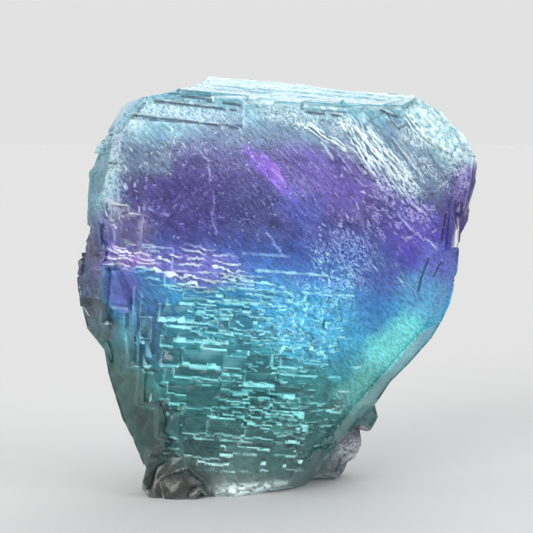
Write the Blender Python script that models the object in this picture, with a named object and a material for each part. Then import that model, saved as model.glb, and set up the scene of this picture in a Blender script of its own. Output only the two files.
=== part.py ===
"""Fluorite crystal: one thick, stepped, colour-zoned tablet that stands on a flat base.

Sizes are in millimetres, and MM turns them into metres. X runs to the right, Y away from the
viewer and Z up. A facet's heading is the direction of its outward normal in the XZ plane, in
degrees from +X towards +Z, and its lean is how far that normal turns to the front, or to the back
where it is negative. The crystal's cube edges fall to the right by TILT.
"""
import math
import random

import bmesh
import bpy
from mathutils import Matrix, Vector

MM = 0.001
NAME = "fluorite_crystal"
SEED = 23

# Driving sizes
FRONT = -12.3
BACK = 14.6
BASE_SINK = 3.0
TILT = math.radians(4.0)
STOCK = 90.0
CUT_TOLERANCE = 1e-6
WELD = 0.01

# Colour and finish of the stone
STONE_COLOUR = (0.36, 0.55, 0.78, 1.0)
STONE_ROUGHNESS = 0.18

# Outline of the widest section, clockwise from the left end of the top edge
OUTLINE = [
    (-10.2, 62.3), (3.6, 61.1), (8.1, 60.3), (19.3, 59.6), (22.3, 57.8), (24.6, 56.8), (25.5, 55.4),
    (27.9, 53.4), (29.9, 49.3), (30.0, 46.8), (29.2, 41.5), (27.6, 38.6), (27.3, 32.5), (26.3, 28.0),
    (23.6, 22.7), (20.2, 18.8), (17.4, 16.2), (15.4, 12.8), (9.2, 6.0), (5.0, -3.0), (-16.6, -3.0),
    (-18.2, 0.4), (-19.6, 2.6), (-21.6, 7.5), (-23.2, 10.5), (-25.2, 17.4), (-25.7, 21.2),
    (-28.4, 24.2), (-29.7, 30.3), (-30.0, 36.9), (-28.5, 39.3), (-27.8, 48.3), (-26.2, 51.6),
    (-24.4, 53.4), (-22.9, 58.1), (-16.2, 59.2), (-14.3, 59.8), (-12.3, 60.8),
]

# Facets of the tablet: a point on each (x, y, z), then its heading and lean
FRONT_FACETS = [
    ("top bevel", (3.6, -1.0, 61.6), 86, 18),
    ("top left corner", (-24.4, -2.0, 55.4), 135, 9),
    ("left bevel", (-28.6, -3.0, 46.0), 171, 29),
    ("left flank", (-30.4, 0.0, 34.0), 186, 36),
    ("lower left flank", (-25.0, 1.0, 14.0), 201, 42),
    ("sloping lower front", (-5.0, -12.0, 37.0), 268, 82),
    ("sloping right front", (9.0, -12.1, 44.0), -4, 76),
    ("top right corner", (26.2, -1.0, 56.3), 41, 30),
    ("right rim", (30.5, -1.0, 46.0), 2, 32),
    ("right cleavage", (27.9, 0.5, 33.0), -16, 36),
    ("right inner cleavage", (21.6, -5.6, 34.0), -18, 58),
    ("right lower slope", (13.0, -10.9, 28.0), -38, 72),
    ("lower right slope", (16.6, -5.6, 22.4), -41, 56),
    ("lower right flank", (22.2, 2.0, 20.4), -41, 26),
    ("bottom right flank", (4.6, 1.2, 0.0), -45, 24),
    ("bottom right bevel", (-5.3, -6.6, 0.0), -71.5, 22),
    ("bottom flank", (-9.0, -7.8, 0.0), 262, 34),
]
BACK_FACETS = [
    ("back top", (2.0, 3.0, 61.8), 92, -34),
    ("back top left", (-23.0, 3.0, 56.0), 133, -38),
    ("back left", (-29.6, 2.0, 42.0), 176, -33),
    ("back lower left", (-27.0, 3.0, 20.0), 205, -36),
    ("back top right", (25.5, 4.0, 55.0), 38, -36),
    ("back right", (29.6, 3.0, 40.0), -3, -31),
    ("back lower right", (19.0, 6.0, 16.0), -48, -30),
    ("back upper slope", (0.0, BACK - 2.4, 52.0), 84, -76),
    ("back lower slope", (-4.0, BACK - 0.8, 4.0), 262, -78),
]

# Terraces on the front: centre (x, z), width, height, depth of the face and width of its risers
TERRACE_THICKNESS = 5.0
LEFT_RISER_SHARE = 0.5
TERRACES = [
    ("main plateau", -7.9, 46.4, 22.0, 20.6, -12.34, 0.35),
    ("plateau apron", 1.6, 37.4, 13.0, 8.8, -12.06, 0.45),
    ("shelf below the plateau", -10.0, 35.2, 10.5, 4.6, -12.20, 0.45),
    ("second shelf", -7.4, 33.0, 9.0, 3.0, -11.95, 0.45),
    ("third shelf", -12.2, 32.6, 5.2, 2.8, -11.80, 0.45),
    ("left edge strip", -21.2, 48.6, 2.4, 15.6, -11.95, 0.30),
    ("left panel", -21.9, 39.6, 3.4, 5.8, -10.90, 0.35),
    ("left bright patch", -24.2, 42.4, 1.8, 2.4, -9.80, 0.30),
    ("left small panel", -25.5, 38.6, 1.7, 3.6, -8.80, 0.30),
    ("left ledge", -22.2, 35.1, 7.4, 2.3, -10.50, 0.60),
    ("violet panel", -22.6, 30.8, 3.5, 6.2, -9.60, 0.35),
    ("grey plank", -24.8, 29.6, 1.5, 8.6, -8.30, 0.30),
    ("blue panel", -19.8, 27.2, 2.5, 8.8, -10.90, 0.40),
    ("dark plank", -18.1, 26.2, 1.2, 10.4, -10.45, 0.20),
    ("lower plank", -20.6, 22.0, 2.0, 5.6, -9.70, 0.35),
    ("flank step", -18.6, 16.2, 3.4, 6.0, -9.30, 0.50),
    ("flank foot step", -15.6, 10.8, 3.6, 4.8, -9.30, 0.50),
    ("parquet 1", -11.0, 30.7, 5.0, 1.9, -11.75, 0.45),
    ("parquet 2", -14.8, 27.3, 5.0, 1.9, -11.40, 0.55),
    ("parquet 3", -5.2, 26.0, 3.6, 2.2, -11.20, 0.40),
    ("parquet 4", -16.0, 23.3, 1.9, 1.8, -10.75, 0.50),
    ("parquet 5", -15.5, 21.0, 2.6, 2.3, -10.70, 0.65),
    ("parquet 6", -10.7, 21.2, 6.6, 2.2, -11.15, 1.00),
    ("parquet 7", -6.2, 20.0, 3.4, 1.9, -10.75, 0.60),
    ("parquet 8", -2.5, 18.0, 4.8, 1.7, -10.75, 1.00),
    ("parquet 9", -9.2, 17.8, 7.6, 1.8, -10.40, 0.60),
    ("parquet 10", -7.7, 10.4, 5.2, 2.4, -9.75, 0.70),
    ("parquet 11", 2.6, 23.6, 5.4, 2.6, -10.85, 0.60),
    ("parquet 12", 5.2, 14.6, 4.6, 2.2, -9.75, 0.60),
]

# Steps cut back into the top edge, like stairs: lower corner (x, z), width, depth that is left.
# A negative width runs to the left of the corner.
TOP_STEPS = [
    (-4.8, 54.6, -26.0, -11.90),
    (-5.6, 57.2, -26.0, -11.20),
    (-3.9, 58.0, -8.0, -10.90),
    (-9.4, 58.9, -20.0, -10.30),
    (-9.3, 60.1, -20.0, -9.40),
    (-9.3, 60.9, -20.0, -8.40),
    (3.6, 57.1, 12.0, -11.75),
    (4.3, 58.2, 11.0, -10.90),
    (15.6, 57.2, 6.0, -10.70),
]
TOP_STEP_HEIGHT = 12.0
TOP_STEP_LEAN = math.radians(13.0)

# Sheets that step down along the diagonal in the upper right: centre (x, z), length, width, depth
SHEETS = [
    (12.8, 51.4, 15.0, 3.6, -12.10),
    (15.6, 50.4, 16.0, 3.6, -11.75),
    (18.6, 50.4, 14.0, 3.4, -11.35),
    (21.0, 50.0, 11.0, 3.0, -10.70),
    (20.4, 41.8, 8.0, 3.4, -10.50),
]
SHEET_TURN = math.radians(52.0)
SHEET_THICKNESS = 5.0

# Diagonal hackly ridges in the upper right: both ends (x, z), width and height above the surface
RIDGE_SIDES = 6
RIDGE_TIP_SHARE = 0.25
RIDGE_FLATNESS = 0.7
RIDGES = [
    ((6.0, 55.4), (13.2, 47.6), 1.1, 0.40),
    ((10.6, 56.2), (16.2, 47.4), 1.3, 0.55),
    ((12.8, 55.0), (20.4, 43.8), 1.2, 0.55),
    ((16.4, 54.0), (22.6, 44.4), 1.5, 0.50),
    ((14.4, 46.6), (20.6, 38.8), 1.2, 0.45),
    ((9.6, 45.0), (14.6, 36.2), 1.4, 0.40),
    ((7.0, 38.0), (11.2, 30.6), 1.6, 0.45),
    ((19.4, 42.0), (24.6, 36.0), 1.3, 0.40),
    ((18.0, 56.0), (23.8, 48.2), 1.2, 0.45),
    ((3.0, 56.6), (8.6, 50.8), 0.9, 0.25),
    ((4.2, 45.6), (8.8, 38.4), 0.9, 0.25),
    ((10.6, 40.2), (15.0, 33.4), 1.1, 0.35),
    ((15.6, 36.6), (19.2, 31.0), 1.2, 0.35),
]

# Lumps grown on the tablet: centre (x, y, z), size (x, y, z), turn in degrees and number of cuts
LUMPS = [
    ("foot", (-15.0, -2.4, 2.6), (11.4, 13.4, 9.4), 6, 70),
    ("foot toe", (-14.2, -6.2, 1.5), (7.4, 6.4, 5.8), -10, 50),
    ("grey lump", (12.8, 6.4, 11.0), (5.8, 7.0, 5.4), 24, 26),
    ("mauve lump", (9.8, 8.2, 6.4), (7.6, 8.2, 7.4), -18, 26),
    ("pale lump", (6.2, 8.8, 3.8), (11.0, 10.4, 8.2), 10, 30),
    ("back lump", (-2.6, 11.8, 12.0), (10.6, 5.4, 9.0), 15, 22),
    ("left rough edge", (-27.1, 1.2, 29.8), (4.8, 6.4, 10.6), -6, 24),
    ("left rough knob", (-28.0, 0.4, 36.6), (3.8, 5.2, 3.6), 20, 20),
    ("lower left knob", (-23.9, 2.2, 19.8), (3.4, 5.4, 6.0), -20, 20),
    ("violet flake", (26.9, -2.6, 44.9), (4.4, 4.2, 11.6), 11, 26),
]
LUMP_CUT_RANGE = (0.60, 0.80)

# Seeded parquet of small blocks between the named terraces
PARQUET_TOP = 34.0
PARQUET_BOTTOM = 3.6
PARQUET_LEFT = -17.6
PARQUET_RIGHT = 8.6
PARQUET_STAGGER = 1.5
PARQUET_JITTER = 0.2
PARQUET_OVERLAP = 1.06
PARQUET_THICKNESS = 4.0
ROW_HEIGHT = (1.4, 2.5)
BLOCK_WIDTH = (2.4, 6.2)
BLOCK_HEIGHT_SHARE = (0.95, 1.2)
BLOCK_SPACING_SHARE = (0.9, 1.25)
BLOCK_RISER = (0.25, 0.7)
BLOCK_PROUD = (0.15, 0.75)

# Patches of small crumbs on the front: centre (x, z), half width, half height and count
CRUMB_PATCHES = [
    (-2.0, 12.0, 7.0, 3.4, 24),
    (5.2, 27.4, 4.4, 4.6, 20),
    (-5.0, 31.0, 8.0, 2.6, 18),
    (6.0, 8.6, 3.4, 2.6, 10),
]
CRUMB_SIZE = (0.7, 2.2)
CRUMB_FLATNESS = 0.6
CRUMB_RISER_SHARE = (0.1, 0.3)
CRUMB_PROUD = (0.25, 0.6)
CRUMB_THICKNESS = 3.0

# Blocky cleavage steps on the back
BACK_STEPS = 34
BACK_STEP_SIZE = (4.0, 12.0)
BACK_STEP_FLATNESS = 0.8
BACK_STEP_X = (-22.0, 21.0)
BACK_STEP_Z = (8.0, 55.0)
BACK_STEP_SWAY = math.radians(1.0)
BACK_STEP_PROUD = (0.25, 0.8)
BACK_STEP_THICKNESS = 6.0

# How far terraces and steps may stand proud of the tablet's facets
PROUD_LIMIT = 0.85

# Cuts: centre (x, y, z), size (x, y, z), turn about Y and turn about Z in degrees
SLIT = ((26.8, -3.0, 40.2), (0.6, 12.0, 7.0), 5, -14)
ARCH = ((-10.9, -8.0, 0.0), (1.5, 7.0, 1.5), 45, 6)


def clear_scene():
    """Remove the objects that are already in the file."""
    for obj in list(bpy.data.objects):
        bpy.data.objects.remove(obj, do_unlink=True)


def new_collection(name):
    """Make a collection in the scene."""
    collection = bpy.data.collections.new(name)
    bpy.context.scene.collection.children.link(collection)
    return collection


def object_from_bmesh(name, bm, collection):
    """Put a bmesh, made in millimetres, into a new object in metres."""
    bmesh.ops.scale(bm, vec=(MM, MM, MM), verts=bm.verts)
    bmesh.ops.recalc_face_normals(bm, faces=bm.faces)
    mesh = bpy.data.meshes.new(name)
    bm.to_mesh(mesh)
    bm.free()
    obj = bpy.data.objects.new(name, mesh)
    collection.objects.link(obj)
    return obj


def make_cutter(obj):
    """Show a helper as a wire cage and keep it out of renders."""
    obj.hide_render = True
    obj.display_type = "WIRE"


def stone_material():
    """Plain pale blue stone."""
    material = bpy.data.materials.new("fluorite")
    material.use_nodes = True
    shader = material.node_tree.nodes["Principled BSDF"]
    shader.inputs["Base Color"].default_value = STONE_COLOUR
    shader.inputs["Roughness"].default_value = STONE_ROUGHNESS
    shader.inputs["Metallic"].default_value = 0.0
    return material


def facet_normal(heading, lean):
    """Outward normal of a facet from its heading and lean in degrees."""
    turn = math.radians(heading)
    tip = math.radians(lean)
    return Vector((math.cos(tip) * math.cos(turn), -math.sin(tip), math.cos(tip) * math.sin(turn)))


def cut_by_plane(bm, point, normal):
    """Cut a convex solid by a plane, drop the outer part and close the section."""
    geometry = bm.verts[:] + bm.edges[:] + bm.faces[:]
    result = bmesh.ops.bisect_plane(
        bm, geom=geometry, dist=CUT_TOLERANCE, plane_co=point, plane_no=normal, clear_outer=True)
    edges = [item for item in result["geom_cut"] if isinstance(item, bmesh.types.BMEdge)]
    if edges:
        bmesh.ops.contextual_create(bm, geom=edges)


def front_depth(x, z):
    """Depth of the tablet's front surface at a place seen from the front."""
    depth = FRONT
    for _, point, heading, lean in FRONT_FACETS:
        normal = facet_normal(heading, lean)
        reach = normal.x * (x - point[0]) + normal.z * (z - point[2])
        depth = max(depth, point[1] - reach / normal.y)
    return depth


def back_depth(x, z):
    """Depth of the tablet's back surface at a place seen from the front."""
    depth = BACK
    for _, point, heading, lean in BACK_FACETS:
        normal = facet_normal(heading, lean)
        reach = normal.x * (x - point[0]) + normal.z * (z - point[2])
        depth = min(depth, point[1] - reach / normal.y)
    return depth


def make_tablet(name, collection, grow):
    """The bevelled tablet: a cube cut by all the facets, each moved out by grow."""
    bm = bmesh.new()
    bmesh.ops.create_cube(bm, size=2.0 * STOCK)
    cut_by_plane(bm, (0.0, FRONT - grow, 0.0), (0.0, -1.0, 0.0))
    cut_by_plane(bm, (0.0, BACK + grow, 0.0), (0.0, 1.0, 0.0))
    cut_by_plane(bm, (0.0, 0.0, -BASE_SINK), (0.0, 0.0, -1.0))
    for _, point, heading, lean in FRONT_FACETS + BACK_FACETS:
        normal = facet_normal(heading, lean)
        cut_by_plane(bm, Vector(point) + grow * normal, normal)
    return object_from_bmesh(name, bm, collection)


def make_outline(collection):
    """The outline of the crystal as a flat plate that runs through its whole depth."""
    curve = bpy.data.curves.new("outline", "CURVE")
    curve.dimensions = "2D"
    curve.fill_mode = "BOTH"
    curve.extrude = STOCK * MM
    spline = curve.splines.new("POLY")
    spline.points.add(len(OUTLINE) - 1)
    for point, (x, z) in zip(spline.points, OUTLINE):
        point.co = (x * MM, z * MM, 0.0, 1.0)
    spline.use_cyclic_u = True
    guide = bpy.data.objects.new("outline_curve", curve)
    guide.rotation_euler.x = math.pi / 2.0
    collection.objects.link(guide)
    bpy.context.view_layer.update()
    mesh = bpy.data.meshes.new_from_object(guide.evaluated_get(bpy.context.evaluated_depsgraph_get()))
    plate = bpy.data.objects.new("outline", mesh)
    plate.matrix_world = guide.matrix_world
    collection.objects.link(plate)
    bpy.data.objects.remove(guide)
    bm = bmesh.new()
    bm.from_mesh(mesh)
    bmesh.ops.remove_doubles(bm, verts=bm.verts, dist=WELD * MM)
    bmesh.ops.recalc_face_normals(bm, faces=bm.faces)
    bm.to_mesh(mesh)
    bm.free()
    return plate


def evaluated_mesh(obj):
    """A new mesh of the object with its modifiers applied."""
    bpy.context.view_layer.update()
    graph = bpy.context.evaluated_depsgraph_get()
    return bpy.data.meshes.new_from_object(obj.evaluated_get(graph))


def fuse(name, pieces, helpers):
    """Join closed pieces, which may overlap each other, into one helper object."""
    heap = new_collection(name + "_pieces")
    for number, piece in enumerate(pieces):
        object_from_bmesh(name + "_" + str(number), piece, heap)
    whole = heap.objects[0]
    heap.objects.unlink(whole)
    helpers.objects.link(whole)
    modifier = whole.modifiers.new("join", "BOOLEAN")
    modifier.operand_type = "COLLECTION"
    modifier.collection = heap
    modifier.operation = "UNION"
    modifier.solver = "MANIFOLD"
    mesh = evaluated_mesh(whole)
    whole.modifiers.clear()
    whole.data = mesh
    whole.name = name
    for obj in list(heap.objects):
        bpy.data.objects.remove(obj)
    bpy.data.collections.remove(heap)
    return whole


def block(x, z, width, height, front, riser, thickness):
    """A block whose face looks to the front, with risers that slope at its bottom and left."""
    bm = bmesh.new()
    bmesh.ops.create_cube(bm, size=1.0)
    bmesh.ops.scale(bm, vec=(width, thickness, height), verts=bm.verts)
    for vert in bm.verts:
        at_front = vert.co.y < 0.0
        if at_front and vert.co.z < 0.0:
            vert.co.z += riser
        if at_front and vert.co.x < 0.0:
            vert.co.x += LEFT_RISER_SHARE * riser
    turn = Matrix.Rotation(TILT, 4, "Y")
    place = Matrix.Translation((x, front + 0.5 * thickness, z))
    bmesh.ops.transform(bm, matrix=place @ turn, verts=bm.verts)
    return bm


def parquet(rng):
    """Rows of small blocks that fill the lower front, each a little proud of the slope."""
    blocks = []
    top = PARQUET_TOP
    while top > PARQUET_BOTTOM:
        height = rng.uniform(*ROW_HEIGHT)
        left = PARQUET_LEFT + rng.uniform(0.0, PARQUET_STAGGER)
        while left < PARQUET_RIGHT:
            width = rng.uniform(*BLOCK_WIDTH)
            x = left + 0.5 * width
            z = top - 0.5 * height - math.tan(TILT) * (x - PARQUET_LEFT)
            z += rng.uniform(-PARQUET_JITTER, PARQUET_JITTER)
            front = front_depth(x, z - 0.5 * height) - rng.uniform(*BLOCK_PROUD)
            if z > PARQUET_BOTTOM:
                riser = rng.uniform(*BLOCK_RISER)
                tall = height * rng.uniform(*BLOCK_HEIGHT_SHARE)
                wide = width * PARQUET_OVERLAP
                blocks.append(block(x, z, wide, tall, front, riser, PARQUET_THICKNESS))
            left += width * rng.uniform(*BLOCK_SPACING_SHARE)
        top -= height
    return blocks


def crumbs(rng):
    """Small blocks in rough patches, each a little proud of the tablet."""
    blocks = []
    for centre_x, centre_z, half_width, half_height, count in CRUMB_PATCHES:
        for _ in range(count):
            x = centre_x + rng.uniform(-half_width, half_width)
            z = centre_z + rng.uniform(-half_height, half_height)
            width = rng.uniform(*CRUMB_SIZE)
            height = CRUMB_FLATNESS * rng.uniform(*CRUMB_SIZE)
            front = front_depth(x, z) - rng.uniform(*CRUMB_PROUD)
            riser = rng.uniform(*CRUMB_RISER_SHARE) * height
            blocks.append(block(x, z, width, height, front, riser, CRUMB_THICKNESS))
    return blocks


def diagonal_sheets():
    """Sheets that run down the diagonal in the upper right, each set back from the last."""
    sheets = []
    for x, z, length, width, front in SHEETS:
        bm = bmesh.new()
        bmesh.ops.create_cube(bm, size=1.0)
        bmesh.ops.scale(bm, vec=(length, SHEET_THICKNESS, width), verts=bm.verts)
        turn = Matrix.Rotation(SHEET_TURN, 4, "Y")
        place = Matrix.Translation((x, front + 0.5 * SHEET_THICKNESS, z))
        bmesh.ops.transform(bm, matrix=place @ turn, verts=bm.verts)
        sheets.append(bm)
    return sheets


def make_front_terraces(helpers, rng):
    """All blocks of the front in one helper object."""
    blocks = []
    for _, x, z, width, height, front, riser in TERRACES:
        blocks.append(block(x, z, width, height, front, riser, TERRACE_THICKNESS))
    blocks += diagonal_sheets()
    blocks += parquet(rng)
    blocks += crumbs(rng)
    return fuse("front_terraces", blocks, helpers)


def make_back_steps(helpers, rng):
    """Blocky cleavage steps on the back."""
    blocks = []
    for _ in range(BACK_STEPS):
        bm = bmesh.new()
        width = rng.uniform(*BACK_STEP_SIZE)
        height = BACK_STEP_FLATNESS * rng.uniform(*BACK_STEP_SIZE)
        x = rng.uniform(*BACK_STEP_X)
        z = rng.uniform(*BACK_STEP_Z)
        back = back_depth(x, z) + rng.uniform(*BACK_STEP_PROUD)
        bmesh.ops.create_cube(bm, size=1.0)
        bmesh.ops.scale(bm, vec=(width, BACK_STEP_THICKNESS, height), verts=bm.verts)
        turn = Matrix.Rotation(TILT + rng.uniform(-BACK_STEP_SWAY, BACK_STEP_SWAY), 4, "Y")
        place = Matrix.Translation((x, back - 0.5 * BACK_STEP_THICKNESS, z))
        bmesh.ops.transform(bm, matrix=place @ turn, verts=bm.verts)
        blocks.append(bm)
    return fuse("back_steps", blocks, helpers)


def make_ridges(helpers):
    """Diagonal hackly ridges: long wedges, half sunk in the surface."""
    wedges = []
    for start, end, width, proud in RIDGES:
        bm = bmesh.new()
        run_x = end[0] - start[0]
        run_z = end[1] - start[1]
        length = math.hypot(run_x, run_z)
        middle = (0.5 * (start[0] + end[0]), 0.5 * (start[1] + end[1]))
        bmesh.ops.create_cone(
            bm, cap_ends=True, segments=RIDGE_SIDES, radius1=width,
            radius2=RIDGE_TIP_SHARE * width, depth=length)
        bmesh.ops.scale(bm, vec=(1.0, RIDGE_FLATNESS, 1.0), verts=bm.verts)
        turn = Matrix.Rotation(math.atan2(run_x, run_z), 4, "Y")
        front = front_depth(*middle)
        place = Matrix.Translation((middle[0], front + 0.5 * width - proud, middle[1]))
        bmesh.ops.transform(bm, matrix=place @ turn, verts=bm.verts)
        wedges.append(bm)
    return fuse("ridges", wedges, helpers)


def lump_mesh(centre, size, turn_degrees, cuts, rng):
    """A faceted lump: a cube with its corners taken off by random planes; many cuts round it."""
    lump = bmesh.new()
    bmesh.ops.create_cube(lump, size=2.0)
    for _ in range(cuts):
        normal = Vector((rng.gauss(0.0, 1.0), rng.gauss(0.0, 1.0), rng.gauss(0.0, 1.0))).normalized()
        reach = sum(abs(part) for part in normal) * rng.uniform(*LUMP_CUT_RANGE)
        cut_by_plane(lump, normal * reach, normal)
    turn = Matrix.Rotation(math.radians(turn_degrees), 4, "Y")
    stretch = Matrix.Diagonal((0.5 * size[0], 0.5 * size[1], 0.5 * size[2], 1.0))
    bmesh.ops.transform(lump, matrix=Matrix.Translation(centre) @ turn @ stretch, verts=lump.verts)
    return lump


def make_lumps(helpers, rng):
    """The foot, the flake, the rough edge and the small crystals behind the lower right edge."""
    lumps = []
    for _, centre, size, turn_degrees, cuts in LUMPS:
        lumps.append(lump_mesh(centre, size, turn_degrees, cuts, rng))
    return fuse("lumps", lumps, helpers)


def top_steps():
    """Blocks that cut the top edge back in thin steps."""
    cuts = []
    for corner_x, corner_z, width, depth in TOP_STEPS:
        bm = bmesh.new()
        bmesh.ops.create_cube(bm, size=1.0)
        bmesh.ops.scale(bm, vec=(abs(width), STOCK, TOP_STEP_HEIGHT), verts=bm.verts)
        bmesh.ops.translate(bm, vec=(0.5 * width, 0.0, 0.5 * TOP_STEP_HEIGHT), verts=bm.verts)
        bmesh.ops.translate(bm, vec=(0.0, -0.5 * STOCK, 0.0), verts=bm.verts)
        turn = Matrix.Rotation(TILT, 4, "Y") @ Matrix.Rotation(-TOP_STEP_LEAN, 4, "X")
        place = Matrix.Translation((corner_x, depth, corner_z))
        bmesh.ops.transform(bm, matrix=place @ turn, verts=bm.verts)
        cuts.append(bm)
    return cuts


def make_cuts(helpers):
    """The steps of the top edge, the slit beside the flake, the small arch and the flat base."""
    cuts = top_steps()
    for centre, size, turn_y, turn_z in (SLIT, ARCH):
        bm = bmesh.new()
        bmesh.ops.create_cube(bm, size=1.0)
        bmesh.ops.scale(bm, vec=size, verts=bm.verts)
        turn = Matrix.Rotation(math.radians(turn_z), 4, "Z") @ Matrix.Rotation(math.radians(turn_y), 4, "Y")
        bmesh.ops.transform(bm, matrix=Matrix.Translation(centre) @ turn, verts=bm.verts)
        cuts.append(bm)
    base = bmesh.new()
    bmesh.ops.create_cube(base, size=STOCK)
    bmesh.ops.translate(base, vec=(0.0, 0.0, -0.5 * STOCK), verts=base.verts)
    cuts.append(base)
    return fuse("cuts", cuts, helpers)


def add_boolean(target, operation, tool):
    """Add a Boolean; the exact solver leaves open edges on these many small steps."""
    modifier = target.modifiers.new(operation.lower() + "_" + tool.name, "BOOLEAN")
    modifier.object = tool
    modifier.operation = operation
    modifier.solver = "MANIFOLD"


def settle_on_origin(obj):
    """Apply the modifiers and put the middle of the underside at the origin."""
    mesh = evaluated_mesh(obj)
    obj.modifiers.clear()
    obj.data = mesh
    low = [min(vert.co[axis] for vert in mesh.vertices) for axis in range(3)]
    high = [max(vert.co[axis] for vert in mesh.vertices) for axis in range(3)]
    shift = Vector((-0.5 * (low[0] + high[0]), -0.5 * (low[1] + high[1]), -low[2]))
    mesh.transform(Matrix.Translation(shift))
    print("shift in mm", [round(value / MM, 3) for value in shift])
    print("size in mm", [round((high[axis] - low[axis]) / MM, 3) for axis in range(3)])


def build_crystal():
    """Put the crystal together from the tablet, its terraces, lumps and cuts."""
    clear_scene()
    rng = random.Random(SEED)
    parts = new_collection("fluorite crystal")
    helpers = new_collection("cutters")
    crystal = make_tablet(NAME, parts, 0.0)
    crystal.data.materials.append(stone_material())
    steps = [
        ("UNION", make_front_terraces(helpers, rng)),
        ("UNION", make_back_steps(helpers, rng)),
        ("INTERSECT", make_tablet("envelope", helpers, PROUD_LIMIT)),
        ("UNION", make_ridges(helpers)),
        ("INTERSECT", make_outline(helpers)),
        ("UNION", make_lumps(helpers, rng)),
        ("DIFFERENCE", make_cuts(helpers)),
    ]
    for operation, tool in steps:
        make_cutter(tool)
        add_boolean(crystal, operation, tool)
    settle_on_origin(crystal)


build_crystal()
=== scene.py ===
"""Looks of the fluorite crystal: its relief, its colour zones, a pale floor, soft light and a camera.

Lengths in the constants are millimetres in the frame of the CAD, with +Z up, -Y towards the viewer and
+X to the right. MM turns them into metres. The crystal's cube edges fall to the right by TILT.

The visible crystal is the CAD solid, cut by five blocks. Each block belongs to one side, and its near
face is a fine relief that lies just inside the solid. The relief also carries painted fields: frost and
painted highlight, for edges and crests that look frosted and catch the light; shade, painted shade and
shadow in gaps, under ledges and on darker faces; and hackle, for grainy places, whose crests the
material gives painted highlights and whose pits painted shade.
"""

import math

import bmesh
import bpy
import numpy as np
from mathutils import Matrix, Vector
from mathutils.bvhtree import BVHTree


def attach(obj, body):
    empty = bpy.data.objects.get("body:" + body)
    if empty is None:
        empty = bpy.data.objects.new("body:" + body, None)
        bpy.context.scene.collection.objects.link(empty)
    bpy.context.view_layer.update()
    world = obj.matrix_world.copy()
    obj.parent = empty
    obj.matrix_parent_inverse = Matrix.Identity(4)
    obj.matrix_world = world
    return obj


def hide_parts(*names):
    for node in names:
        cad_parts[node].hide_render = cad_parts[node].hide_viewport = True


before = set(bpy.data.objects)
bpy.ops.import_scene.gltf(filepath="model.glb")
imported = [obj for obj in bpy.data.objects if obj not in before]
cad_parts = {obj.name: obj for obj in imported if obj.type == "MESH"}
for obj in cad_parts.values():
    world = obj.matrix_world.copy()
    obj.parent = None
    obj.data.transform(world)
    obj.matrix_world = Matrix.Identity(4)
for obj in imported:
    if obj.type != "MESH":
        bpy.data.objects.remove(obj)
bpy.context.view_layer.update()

MM = 0.001
NODE = "fluorite_crystal"
SEED = 41
TILT = math.radians(4.0)

# Camera
CAMERA_LENS = 120.0
CAMERA_DISTANCE = 267.0
CAMERA_NEAR = 10.0
CAMERA_ELEVATION = math.radians(4.0)
CAMERA_TARGET = (-1.33, -1.28, 33.65)

# Floor and surroundings
FLOOR_RADIUS = 40000.0
FLOOR_CORNERS = 96
FLOOR_TONE = 0.555
FLOOR_ROUGHNESS = 0.7
SKY_RISE = (0.02, 0.9)
SKY_TONES = (0.76, 0.95)

# Distant soft lamps: direction from the crystal, width in degrees, strength and colour
LIGHTS = [
    ("key", (-0.50, -0.80, 0.28), 36.0, 2.3, (1.0, 0.98, 0.96)),
    ("fill", (0.82, -0.46, 0.30), 40.0, 0.85, (0.97, 0.99, 1.0)),
    ("back", (0.22, 0.84, 0.50), 50.0, 1.2, (0.97, 0.99, 1.0)),
    ("low left", (-0.96, -0.20, 0.16), 26.0, 0.6, (0.97, 0.99, 1.0)),
]

# Relief grids: size of a cell, and how far the surface stays inside the solid
FRONT_CELL = 0.16
BACK_CELL = 0.32
SIDE_CELL = 0.32
TOP_CELL = 0.26
KEEP_INSIDE = 0.02

# How far grids, rays and blocks reach past the crystal, and the cells by which the depth is carried on
GRID_MARGIN = 1.2
RAY_START = 100.0
SLAB_END = 45.0
MISS_PASSES = 10

# Slopes that a relief leaves to other sides: the limits, their soft edge, the blur before they are
# told, the margin in cells, and how far the relief steps out of the solid there
FRONT_STEEPEST = 2.4
BACK_STEEPEST = 1.7
SIDE_STEEPEST = 0.9
STEEP_EDGE = (0.8, 1.2)
FALL_BLUR = 6
STEEP_MARGIN = 2
STEP_OUT = 60.0

# Visible mesh: painted fields and their reach, the cells that keep a reading on the grid, distance of a
# merge in metres, triangles and sharp edges
PAINTED = ("frost_and_highlight", "shade", "hackle")
PAINT_REACH = 0.3
READ_MARGIN = 1.001
WELD = 1e-7
TRIANGLE_LIMIT = 190000
SHARP_ANGLE = math.radians(28.0)

# Noise is given by the size of its cells across and up and its octaves. Patches have the ends of a step
# before that, and waves have their height. SOFT is the soft edge of an oval, as a share of its radii.
SOFT = {"rows": 0.2, "layers": 0.25, "ripples": 0.3, "crinkles": 0.35, "strands": 0.35, "hackles": 0.45,
        "worn": 0.5, "frosted_and_lit": 0.6}

# Risers: blur, slopes from bare to full, frost and painted highlight on risers facing down and left and
# painted shade on those facing up and right, and where they are weak
RISER_BLUR = 14
RISER_SLOPE = (0.30, 0.95)
RISER_FROST_AND_HIGHLIGHT = {"down": 1.0, "left": 0.30}
RISER_SHADE = {"up": 0.75, "right": 0.30}
RISER_WHOLE = (0.25, 0.6, 0.7, 0.7, 1)
RISER_LEAST = 0.45

# Drawn lines: where they are whole, how they bend, and their soft edge in widths
LINE_WHOLE = (0.1, 0.35, 1.2, 1.2, 1)
LINE_NOISE = (1.6, 1.6, 3)
LINE_EDGE = (0.3, 0.9)

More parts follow.
